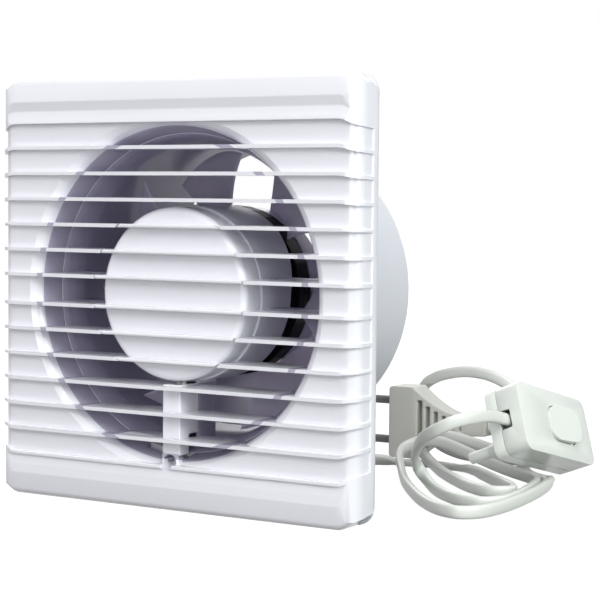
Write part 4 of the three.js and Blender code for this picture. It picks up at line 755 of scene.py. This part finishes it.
def make_grille():
    face_block = prism(face_outline(0, FRONT, GRILLE_BACK, FACE_CORNER), -HALF, HALF)
    header_side = band_section([(0.1, 0.09, 0), (0.6, 0.3, 3), (1.1, 0.58, 2.2)])
    footer_side = band_section([(0, 0.16, 0.2), (1.1, 0.17, 0), (0.9, 0.32, 2), (0.4, 0.6, 4)])
    header = shared(prism(header_side, -HALF, HALF, axis="X"), copied(face_block))
    upside_down = shared(prism(footer_side, -HALF, HALF, axis="X"), face_block)
    footer = mirrored(upside_down, "Z")
    bpy.data.objects.remove(upside_down)
    hollow = block(-HALF + WALL + SIDE_RECESS + 5, FRONT + WALL + CREASE_DROP, BAND_EDGE + WALL,
                   HALF - WALL - SIDE_RECESS - 5, GRILLE_BACK + 1, HALF - WALL - 1)
    footer = cut(footer, mirrored(hollow, "Z"))
    header = cut(header, hollow)

    rim = prism(face_outline(0, RIM_FRONT, GRILLE_BACK, 0.5), -HALF, HALF)
    walls = prism(face_outline(SIDE_RECESS, PLATE_FRONT, RIM_FRONT + 0.5, PLATE_CORNER),
                  -BAND_EDGE - 1, BAND_EDGE + 1)
    inside = block(-HALF + SIDE_RECESS + WALL + 5, PLATE_FRONT + PLATE, -BAND_EDGE - WALL,
                   HALF - SIDE_RECESS - WALL - 5, GRILLE_BACK + 1, BAND_EDGE + WALL)
    hole, flare = HOLE_RADIUS, HOLE_FLARE
    mouth = turned(fillet([
        (0, FRONT - 5, 0), (hole + flare, FRONT - 5, 0), (hole + flare, PLATE_FRONT, 0.3),
        (hole + flare * 0.81, PLATE_FRONT + 0.5, 1.5), (hole + flare * 0.51, PLATE_FRONT + 1.5, 2),
        (hole + flare * 0.3, PLATE_FRONT + 3, 3), (hole + flare * 0.13, PLATE_FRONT + 5, 6),
        (hole - 1.5, GRILLE_BACK, 0), (hole - 1.5, 5, 0), (0, 5, 0),
    ], 6), FINE_SIDES)
    collar = turned([
        (hole - 3, PLATE_FRONT + 0.2), (hole + flare + 1.5, PLATE_FRONT + 0.2),
        (hole + flare + 1.2, PLATE_FRONT + PLATE), (hole + flare * 0.8, PLATE_FRONT + 2.5),
        (hole + flare * 0.45, PLATE_FRONT + 5.2), (hole + 0.2, GRILLE_BACK), (hole - 3, GRILLE_BACK),
    ], SIDES)
    shell = cut(joined(cut(joined(walls, rim), inside), collar), mouth)

    blade_back = FRONT + FIN_DEPTH
    reach = hole + flare + 0.6
    throat = turned([
        (0, FRONT - 1), (reach, FRONT - 1), (reach, PLATE_FRONT + 0.6),
        (hole + flare * 0.4, PLATE_FRONT + 2.6), (hole - 0.6, GRILLE_BACK - 0.5),
        (INLET_RADIUS - 2, GRILLE_BACK - 0.5),
        (INLET_RADIUS - 2.5, blade_back + 1), (0, blade_back + 1),
    ], SIDES)
    hub_space = rod(CUT_RADIUS, FRONT - 1, blade_back + 2, SIDES)
    channel_space = block(-CHANNEL_WIDTH / 2 - GAP, CHANNEL_FRONT - GAP, -HOLE_RADIUS - 3,
                          CHANNEL_WIDTH / 2 + GAP, blade_back + 2, 0)
    fins = []
    for k in range(FIN_COUNT):
        for z in (fin_height(k), -fin_height(k)):
            outer = prism(face_outline(0, FRONT, RIM_FRONT + 0.5, FACE_CORNER),
                          z - FIN / 2, z + FIN / 2, FIN_EDGE)
            back = prism(face_outline(SIDE_RECESS + 1, PLATE_FRONT + 1, 20, PLATE_CORNER), z - 2, z + 2)
            deep = block(-reach, PLATE_FRONT + 0.5, z - FIN / 2, reach, blade_back, z + FIN / 2)
            fin = joined(cut(outer, back), shared(deep, copied(throat)))
            fins.append(cut(fin, copied(hub_space), copied(channel_space)))
    for spare in (throat, hub_space, channel_space):
        bpy.data.objects.remove(spare)
    boss = block(-4, PLATE_FRONT + 1, SCREW_HEIGHT - 4, 4, GRILLE_BACK - 0.4, SCREW_HEIGHT + 3.4, 0.4)
    pocket = moved(rod(POCKET_RADIUS, -30, SEAT), z=SCREW_HEIGHT)
    shank_hole = moved(rod(SHANK_RADIUS, -30, 30), z=SCREW_HEIGHT)
    room = block(-CHANNEL_WIDTH / 2 - GAP, CHANNEL_FRONT - GAP, -HOLE_RADIUS - 0.2,
                 CHANNEL_WIDTH / 2 + GAP, GRILLE_BACK + 1, -HOLE_RADIUS + 8)
    passage = block(-18, SEAT + 1.7, -BAND_EDGE - WALL - 1, -3.4, GRILLE_BACK + 1, -BAND_EDGE + 6)
    whole = cut(joined(shell, header, footer, *fins, boss), pocket, shank_hole, room, passage)
    piece(drooped(whole), "grille", "grille_white_painted_shade", "white_gloss", FAN, "fan_body", "front_grille")


def make_hub_cover():
    face = FRONT + HUB_SETBACK
    inner = HUB_RADIUS - COVER_WALL
    shell = turned(fillet([
        (0, face, 0), (HUB_RADIUS, face, HUB_EDGE * 1.2), (HUB_RADIUS, HUB_SKIRT_END, 0.4),
        (inner, HUB_SKIRT_END, 0), (inner, face + COVER_WALL, 1.5), (0, face + COVER_WALL, 0),
    ], 10), FINE_SIDES)
    reach = rod(HUB_RADIUS + RIB_OVERHANG, FRONT - 1, FRONT + HUB_SETBACK + HUB_EDGE, SIDES)
    ribs = []
    for k in range(FIN_COUNT):
        if fin_height(k) > HUB_RADIUS - 3:
            continue
        for z in (fin_height(k), -fin_height(k)):
            x = HUB_RADIUS + 5
            rib = block(-x, FRONT, z - FIN / 2, x, face + 1, z + FIN / 2, FIN_EDGE)
            ribs.append(shared(rib, copied(reach)))
    bpy.data.objects.remove(reach)
    notch = block(-3.4, -8, -HUB_RADIUS - 2, 3.4, HUB_SKIRT_END + 2, -HUB_RADIUS + 4)
    cover = cut(joined(shell, *ribs), notch)
    piece(cover, "motor_cover", "white_gloss", "white_gloss", FAN, "fan_body", "hub_cover")


def make_housing():
    size = FACE - 2 * BASE_MARGIN
    base = prism(rectangle(size, size, BASE_CORNER), -BASE, 0, 0.3, axis="Y")
    flare = INLET_FLARE
    bore = turned(fillet([
        (0, -5, 0), (INLET_RADIUS + 1, -5, 0), (INLET_RADIUS + 1, -BASE, 0), (INLET_RADIUS, -BASE, 0.8),
        (INLET_RADIUS - flare * 0.28, 0, 3), (INLET_RADIUS - flare * 0.7, 4, 6), (SPIGOT_INNER, 8, 8),
        (SPIGOT_INNER, SPIGOT_LENGTH - 0.3, 0), (SPIGOT_INNER + 0.4, SPIGOT_LENGTH + 1, 0),
        (0, SPIGOT_LENGTH + 1, 0),
    ], 5), FINE_SIDES)
    spigot = turned(fillet([
        (SPIGOT_INNER - 2, -BASE, 0), (SPIGOT_RADIUS + flare, -BASE, 0), (SPIGOT_RADIUS + flare, 0, 0),
        (SPIGOT_RADIUS + flare * 0.6, 3, 5), (SPIGOT_RADIUS + flare * 0.2, 7, 8), (SPIGOT_RADIUS, 10, 8),
        (SPIGOT_RADIUS, SPIGOT_LENGTH, 0.9), (SPIGOT_INNER - 2, SPIGOT_LENGTH, 0),
    ], 5), FINE_SIDES)
    ring = tube(CRADLE_OUTER, CRADLE_INNER, HUB_SKIRT_END + GAP, CRADLE_END, SIDES, 0.3)
    reach, back = 45, 50  # well outside the ring and well behind it
    low, high = CRADLE_LOW_END, CRADLE_LOW_END + reach * CRADLE_SLANT
    bared = prism([(low, -reach), (low, 0), (high, reach), (back, reach), (back, -reach)],
                  -reach, reach, axis="X")
    ring = cut(ring, bared)
    within = turned([
        (0, 0), (INLET_RADIUS - flare * 0.28 + 0.8, 0), (INLET_RADIUS - flare * 0.7 + 0.8, 4),
        (SPIGOT_INNER + 0.8, 8), (SPIGOT_INNER + 0.8, 30), (0, 30),
    ], SIDES)
    arms = []
    arm_height = fin_height(0)
    for side in (-1, 1):
        start, end = sorted((side * (math.sqrt(CRADLE_OUTER ** 2 - arm_height ** 2) - 0.8), side * 80))
        for z in (arm_height, -arm_height):
            arms.append(shared(block(start, 2.5, z - 1, end, ARM_END, z + 1, 0.35), copied(within)))
    arms.append(shared(cut(
        block(-CHANNEL_WIDTH / 2, 0.5, -80, CHANNEL_WIDTH / 2, ARM_END - 2, -CRADLE_OUTER + 0.8, 0.4),
        block(-CHANNEL_WIDTH / 2 + 1.4, -1, -90, CHANNEL_WIDTH / 2 - 1.4, ARM_END - 4, 0),
    ), within))
    tools = []
    for x in (-WALL_HOLE, WALL_HOLE):
        for z in (-WALL_HOLE, WALL_HOLE):
            tools.append(moved(rod(WALL_HOLE_RADIUS, -5, 5), x=x, z=z))
    tools.append(moved(rod(RELIEF_FLANGE - 1.4 + GAP, -5, 5), x=EXIT_X, z=EXIT_Z))
    tools.append(moved(rod(THREAD_RADIUS, -5, 5), z=SCREW_HEIGHT))
    whole = cut(joined(cut(joined(base, spigot), bore), ring, *arms), *tools)
    piece(whole, "duct_housing", "housing_white_painted_shade", "white_gloss", FAN, "fan_body", "rear_housing")


def make_channel():
    top = -HUB_RADIUS - RIB_OVERHANG - GAP
    bottom = SCREW_HEIGHT + 2.5 + GAP
    w = CHANNEL_WIDTH / 2
    outer = block(-w, CHANNEL_FRONT, bottom, w, 0.5 - GAP, top, 0.5)
    hollow = block(-w + 1.2, CHANNEL_FRONT + 1.2, bottom - 1, w - 1.2, 2, top + 1)
    foot = block(-w, CHANNEL_FRONT, bottom, w, SEAT - 0.4, bottom + 1.4, 0.4)
    shallow = block(-w - 1, SEAT + 0.6, -HOLE_RADIUS - 5, w + 1, 5, -HOLE_RADIUS + 10)
    whole = cut(joined(cut(outer, hollow), foot), shallow)
    piece(whole, "lead_cover", "white_gloss", "white_gloss", FAN, "fan_body", "cable_channel")


def between(pair, share):
    return pair[0] + (pair[1] - pair[0]) * share


def rounded_off(at, start, width):
    """1 up to the start, then down to 0 in a quarter circle of that width."""
    return math.sqrt(max(0.0, 1 - ((at - start) / width) ** 2)) if at > start else 1


def blade():
    """A skewed, cambered sheet, thickest behind its leading edge, from the hub out to the tip."""
    rows, columns = 18, 40
    lead_depth, trail_depth = (30, 18), (HUB_REAR - 1.2, HUB_REAR - 1.8)  # at the hub and at the tip
    lead_angle, trail_angle = (0, 13), (-39, -41)
    nx, ny = -0.5, -0.86  # the way the blade's thickness goes, round the axis and along it
    bm = bmesh.new()
    grid = []
    for side in (-1, 1):
        for i in range(rows):
            s = i / (rows - 1)
            for j in range(columns):
                t = 0.5 - 0.5 * math.cos(math.pi * j / (columns - 1))
                radius = IMPELLER_HUB_RADIUS - 1 + (IMPELLER_RADIUS - IMPELLER_HUB_RADIUS + 1) * s
                angle = math.radians(between((between(lead_angle, s), between(trail_angle, s)), t))
                depth = between((between(lead_depth, s), between(trail_depth, s)), t)
                depth += BLADE_CAMBER * math.sin(math.pi * t)
                half = (BLADE_THICKNESS / 2) * (0.45 + 0.75 * math.sin(math.pi * (0.12 + 0.76 * t)))
                fade = rounded_off(abs(2 * t - 1), 0.96, 0.04)
                rim = rounded_off(s, 0.965, 0.035)
                half *= max(0.15, fade) * max(0.15, rim)
                grid.append(bm.verts.new((
                    radius * math.sin(angle) + side * half * nx * math.cos(angle),
                    depth + side * half * ny,
                    radius * math.cos(angle) - side * half * nx * math.sin(angle),
                )))

    def at(side, i, j):
        return grid[side * rows * columns + i * columns + j]

    for side in (0, 1):
        for i in range(rows - 1):
            for j in range(columns - 1):
                bm.faces.new((at(side, i, j), at(side, i + 1, j), at(side, i + 1, j + 1), at(side, i, j + 1)))
    for j in range(columns - 1):
        for i in (0, rows - 1):
            bm.faces.new((at(0, i, j), at(0, i, j + 1), at(1, i, j + 1), at(1, i, j)))
    for i in range(rows - 1):
        for j in (0, columns - 1):
            bm.faces.new((at(0, i, j), at(0, i + 1, j), at(1, i + 1, j), at(1, i, j)))
    return as_object(bm)


def make_impeller():
    r, floor = IMPELLER_HUB_RADIUS, HUB_REAR - HUB_FLOOR
    hub = turned(fillet([
        (0, HUB_FRONT + 1, 0), (BOSS_RADIUS, HUB_FRONT + 1, 0.4), (BOSS_RADIUS + 1, floor, 0.8),
        (r - 2, floor, 0.8), (r - 2, HUB_FRONT, 0.3), (r, HUB_FRONT, 0.3),
        (r, HUB_REAR, 3.2), (0, HUB_REAR, 0),
    ], 6), SIDES)
    one = cut(blade(), rod(BLADE_ROOT_RADIUS, -5, HUB_FRONT, 96), rod(r - 1.5, 0, HUB_REAR - 1, 96))
    blades = [spun(copied(one), 360 / BLADE_COUNT * i) for i in range(BLADE_COUNT)]
    bpy.data.objects.remove(one)
    webs = [spun(block(-0.8, HUB_FRONT + 1, BOSS_RADIUS - 0.5, 0.8, HUB_REAR - 1, r - 1.5, 0.25),
                 360 / WEB_COUNT * (i + 0.5)) for i in range(WEB_COUNT)]
    whole = cut(joined(hub, *webs, *blades), rod(SHAFT_BORE, 0, 80))
    piece(whole, "fan_wheel", "white_satin", "white_satin", FAN, "rotor_assembly", "impeller", sharp=45)


def make_relief():
    corners = [(0, GAP, 0), (RELIEF_FLANGE, GAP, 0.4), (RELIEF_FLANGE, 1.8, 0.5), (4.7, 2.2, 0.4)]
    for i in range(RELIEF_RINGS):
        y, r = 4 + i * RELIEF_PITCH, 4.6 - i * 0.14
        corners += [(r, y, 0.3), (r - 0.8, y + 0.5, 0.3), (r - 0.8, y + 1.5, 0.3), (r - 0.1, y + 2, 0.3)]
    corners += [(3.7, RELIEF_LENGTH, 0.4), (0, RELIEF_LENGTH, 0)]
    neck = rod(RELIEF_FLANGE - 1.4, -BASE - 0.2, GAP + 0.2)
    sheath = rectangle(CORD_THICKNESS, CORD_WIDTH, CORD_THICKNESS * 0.45)
    slot = prism(sheath, -5, RELIEF_LENGTH + 1, axis="Y")
    whole = moved(cut(joined(turned(fillet(corners, 3), 64), neck), slot), x=EXIT_X, z=EXIT_Z)
    piece(whole, "bend_relief", "cord_plastic", "cord_plastic", FAN, "fan_body", "cord_strain_relief")


# ---------------------------------------------------------------- switch
CORD_AXIS = SWITCH_SEAM + GAP / 2 + CORD_HOLE_HEIGHT / 2
SCREW_X = 23.0  # places of the switch's two screws, on opposite sides of its middle
SCREW_Y = 9.8
SCREW_HOLE = 1.4
SCREW_HEAD = 2.5


def upright(radius, z0, z1, segments=48):
    return spun(rod(radius, z0, z1, segments), 90, "X")


def make_switch():
    z0 = SWITCH_SEAM + GAP / 2
    wall = 2 * SWITCH_WALL
    outline = rectangle(SWITCH_LENGTH, SWITCH_WIDTH, SWITCH_CORNER, 10)
    inner = rectangle(SWITCH_LENGTH - wall, SWITCH_WIDTH - wall, SWITCH_CORNER - SWITCH_WALL)
    outer = prism(outline, z0, SWITCH_HEIGHT, SWITCH_EDGE, 5, rounded="high")
    hollow = prism(inner, z0 - 1, SWITCH_HEIGHT - SWITCH_WALL)
    opening = moved(prism(rectangle(ROCKER_LENGTH + 1.4, ROCKER_WIDTH + 0.8, ROCKER_CORNER, 12),
                          ROCKER_AXIS - 8, SWITCH_HEIGHT + 1), x=ROCKER_OFFSET)
    reach = SWITCH_LENGTH / 2 + 1
    doors = prism(rectangle(CORD_HOLE_WIDTH, 2 * CORD_HOLE_HEIGHT, 1, 4), -reach, reach, axis="X")
    doors = moved(doors, z=CORD_AXIS - CORD_HOLE_HEIGHT / 2)
    lugs, posts = [], []
    half = ROCKER_WIDTH / 2 + 0.4
    x0, x1 = ROCKER_OFFSET - 3.4, ROCKER_OFFSET + 3.4
    for side in (1, -1):
        y0, y1 = sorted((side * (half + 0.1), side * (half + 2.2)))
        lugs.append(block(x0, y0, ROCKER_AXIS - 2.8, x1, y1, SWITCH_HEIGHT - 0.8))
        posts.append(moved(upright(2.6, -SWITCH_HEIGHT + 0.8, -z0), x=side * SCREW_X, y=side * SCREW_Y))
    bore = moved(rod(TRUNNION_RADIUS + 0.05, -half - 1.6, half + 1.6), x=ROCKER_OFFSET, z=ROCKER_AXIS)
    upper = cut(joined(cut(outer, hollow), *lugs, *posts), opening, bore, doors)
    piece(upper, "switch_cover", "switch_white", "white_gloss", SWITCH, "fan_body", "switch_upper_shell",
          bevel=SWITCH_BEVEL)

    z1 = SWITCH_SEAM - GAP / 2
    outer = prism(outline, 0, z1, SWITCH_EDGE, 5, rounded="low")
    hollow = prism(inner, SWITCH_WALL, 20)
    posts, tools = [], []
    for side in (1, -1):
        posts.append(moved(upright(3, -z1, -0.5), x=side * SCREW_X, y=side * SCREW_Y))
        for radius, low, high in ((SCREW_HOLE, -1, 20), (SCREW_HEAD, -1, 1.8)):
            tools.append(moved(upright(radius, -high, -low), x=side * SCREW_X, y=side * SCREW_Y))
    lower = cut(joined(cut(outer, hollow), *posts), *tools)
    piece(lower, "switch_base", "switch_white", "white_gloss", SWITCH, "fan_body", "switch_lower_shell",
          bevel=SWITCH_BEVEL)


def make_rocker():
    z0, z1 = TRUNNION_DEPTH - ROCKER_DEPTH, TRUNNION_DEPTH + ROCKER_RISE
    skin = prism(rectangle(ROCKER_LENGTH, ROCKER_WIDTH, ROCKER_CORNER, 12), z0, z1, 1.1, 6, rounded="high")
    inner = rectangle(ROCKER_LENGTH - 2 * ROCKER_WALL, ROCKER_WIDTH - 2 * ROCKER_WALL,
                      ROCKER_CORNER - ROCKER_WALL)
    hollow = prism(inner, z0 - 1, z1 - 2)
    keel = block(-1.6, -ROCKER_WIDTH / 2 + 1, z0, 1.6, ROCKER_WIDTH / 2 - 1, z1 - 1.5)
    pins = rod(TRUNNION_RADIUS, -ROCKER_WIDTH / 2 - 1.7, ROCKER_WIDTH / 2 + 1.7)
    slot = block(-1.9, -2.4, z0 - 1, 1.9, 2.4, z0 + 1)
    whole = cut(joined(cut(skin, hollow), keel, pins), slot)
    piece(whole, "rocker_cap", "switch_white", "white_gloss", ROCKER, "rocker", "switch_rocker")


# ---------------------------------------------------------------- plug
def plug_half(x):
    """Half height of the plug at a distance from its pin face."""
    if x <= PLUG_HEAD:
        return PLUG_WIDTH / 2
    s = min((x - PLUG_HEAD) / PLUG_TAPER, 1)
    return NECK_RADIUS + (PLUG_WIDTH / 2 - NECK_RADIUS) * (1 - s) ** 1.7


def along_x(radius, x0, x1, z, edge=0.0):
    return moved(spun(rod(radius, -x1, -x0, 48, edge), 90, "Z"), z=z)


def make_plug():
    upper = fillet([(0, 0, 0), (0, PLUG_WIDTH / 2, 2.2), (PLUG_HEAD, PLUG_WIDTH / 2, 0)], 6)[1:]
    steps = 24
    upper += [(PLUG_HEAD + PLUG_TAPER * i / steps, plug_half(PLUG_HEAD + PLUG_TAPER * i / steps))
              for i in range(1, steps + 1)]
    upper.append((PLUG_END, NECK_RADIUS - 0.8))
    lower = [(x, -z) for x, z in reversed(upper)]
    side = prism(upper + lower, -PLUG_THICKNESS, PLUG_THICKNESS, axis="Y")
    h, n = PLUG_THICKNESS / 2, NECK_RADIUS - 0.6
    plan = [(0, h, 1.2), (PLUG_HEAD, h, 6), (PLUG_HEAD + PLUG_TAPER, n, 8), (PLUG_END, n - 0.6, 0.6)]
    plan = fillet(plan + [(x, -y, r) for x, y, r in reversed(plan)], 6)
    body = shared(side, prism(plan, -PLUG_WIDTH, PLUG_WIDTH))
    tools = []
    for i in range(GROOVE_COUNT):
        x, width = PLUG_HEAD + 2.2 + i * GROOVE_PITCH, GROOVE_WIDTH - i * GROOVE_STEP
        z = plug_half(x + width) - 2.4
        for face in (-1, 1):
            y0, y1 = sorted((face * PLUG_WEB / 2, face * PLUG_THICKNESS))
            tools.append(block(x, y0, -z, x + width, y1, z))
    body = cut(body, *tools)
    soft = body.modifiers.new("soft", "REMESH")
    soft.mode = "VOXEL"
    soft.voxel_size = PLUG_VOXEL
    smooth = body.modifiers.new("smooth", "SMOOTH")
    smooth.factor = 0.5
    smooth.iterations = 4
    applied(body)
    bores = [along_x(PIN_RADIUS + 0.05, -1, 8.3, k * PIN_SPACING / 2) for k in (-1, 1)]
    body = cut(body, *bores)
    piece(body, "plug_moulding", "plug_grey", "plug_grey", PLUG, "fan_body", "plug_body", sharp=70)


# ---------------------------------------------------------------- floor, backdrop and lights
FLOOR_GLOW = 0.96
FLOOR_REACH = 6  # metres from the middle, each way
FLOOR_DROP = 0.0001  # metres below the object
WORLD_LIGHT = 0.12


def looked_at(tree):
    """1 for rays from the camera, straight or through gloss or glass, and 0 for all others."""
    rays = tree.nodes.new("ShaderNodeLightPath")
    seen = rays.outputs["Is Camera Ray"]
    for other in ("Is Glossy Ray", "Is Transmission Ray"):
        either = tree.nodes.new("ShaderNodeMath")
        either.operation = "MAXIMUM"
        tree.links.new(seen, either.inputs[0])
        tree.links.new(rays.outputs[other], either.inputs[1])
        seen = either.outputs[0]
    return seen


def make_floor():
    s = Shader("floor_white")
    s.surface.inputs["Base Color"].default_value = (0.1, 0.1, 0.1, 1)
    s.surface.inputs["Roughness"].default_value = 0.9
    s.surface.inputs["Emission Color"].default_value = (1, 1, 1, 1)
    s.link(s.maths("MULTIPLY", looked_at(s.tree), FLOOR_GLOW), s.surface.inputs["Emission Strength"])
    bm = bmesh.new()
    bmesh.ops.create_grid(bm, x_segments=2, y_segments=2, size=FLOOR_REACH)
    floor = as_object(bm, "floor")
    floor.data.materials.append(s.material)
    floor.location.z = -FLOOR_DROP


def make_world():
    world = bpy.data.worlds.new("studio")
    bpy.context.scene.world = world
    world.use_nodes = True
    tree = world.node_tree
    light = tree.nodes["Background"]
    light.inputs["Color"].default_value = (0.93, 0.96, 1.0, 1)
    light.inputs["Strength"].default_value = WORLD_LIGHT
    white = tree.nodes.new("ShaderNodeBackground")
    white.inputs["Color"].default_value = (1, 1, 1, 1)
    pick = tree.nodes.new("ShaderNodeMixShader")
    tree.links.new(looked_at(tree), pick.inputs["Fac"])
    tree.links.new(light.outputs[0], pick.inputs[1])
    tree.links.new(white.outputs[0], pick.inputs[2])
    tree.links.new(pick.outputs[0], tree.nodes["World Output"].inputs["Surface"])


def lamp(name, place, target, size, power, colour=(1, 1, 1)):
    data = bpy.data.lights.new(name, "AREA")
    data.shape = "RECTANGLE"
    data.size, data.size_y = size
    data.energy = power
    data.color = colour
    obj = bpy.data.objects.new(name, data)
    obj.location = place
    obj.rotation_euler = (Vector(target) - Vector(place)).to_track_quat("-Z", "Y").to_euler()
    bpy.context.scene.collection.objects.link(obj)


def make_lights():
    middle = (0.02, 0, 0.08)
    lamp("key", (0.75, -1.1, 1.05), middle, (1.3, 0.7), 13.5, (1, 0.99, 0.99))
    lamp("front", (0.45, -1.65, 0.3), middle, (0.9, 0.5), 6, (1, 0.99, 1))
    lamp("top", (0.15, -0.3, 1.5), middle, (1.2, 1.0), 9)
    lamp("right", (1.4, -0.5, 0.6), middle, (0.8, 1.0), 14, (0.93, 1, 0.97))
    lamp("rear", (-1.1, 1.2, 0.9), middle, (1.0, 0.8), 8)
    lamp("left", (-1.3, -0.9, 0.35), middle, (0.8, 0.8), 2.5, (0.93, 0.93, 1))


# ---------------------------------------------------------------- everything
def dress_construction_nodes():
    """The construction's own pieces that stay in view get the finish of their material."""
    look_of = {row["node"]: row["material_slot"] for row in frame["record"]["subparts"]}
    for name, obj in frame["nodes"].items():
        finished(obj, look_of[name], 32)


dress_construction_nodes()
make_grille()
make_hub_cover()
make_housing()
make_channel()
make_impeller()
make_relief()
make_switch()
make_rocker()
make_plug()
make_cord("flex_to_fan", "cord_fan_side", FAN_SIDE_ROUTE)
make_cord("flex_to_plug", "cord_plug_side", PLUG_SIDE_ROUTE)
make_floor()
make_world()
make_lights()
bpy.context.scene.view_settings.view_transform = "Standard"
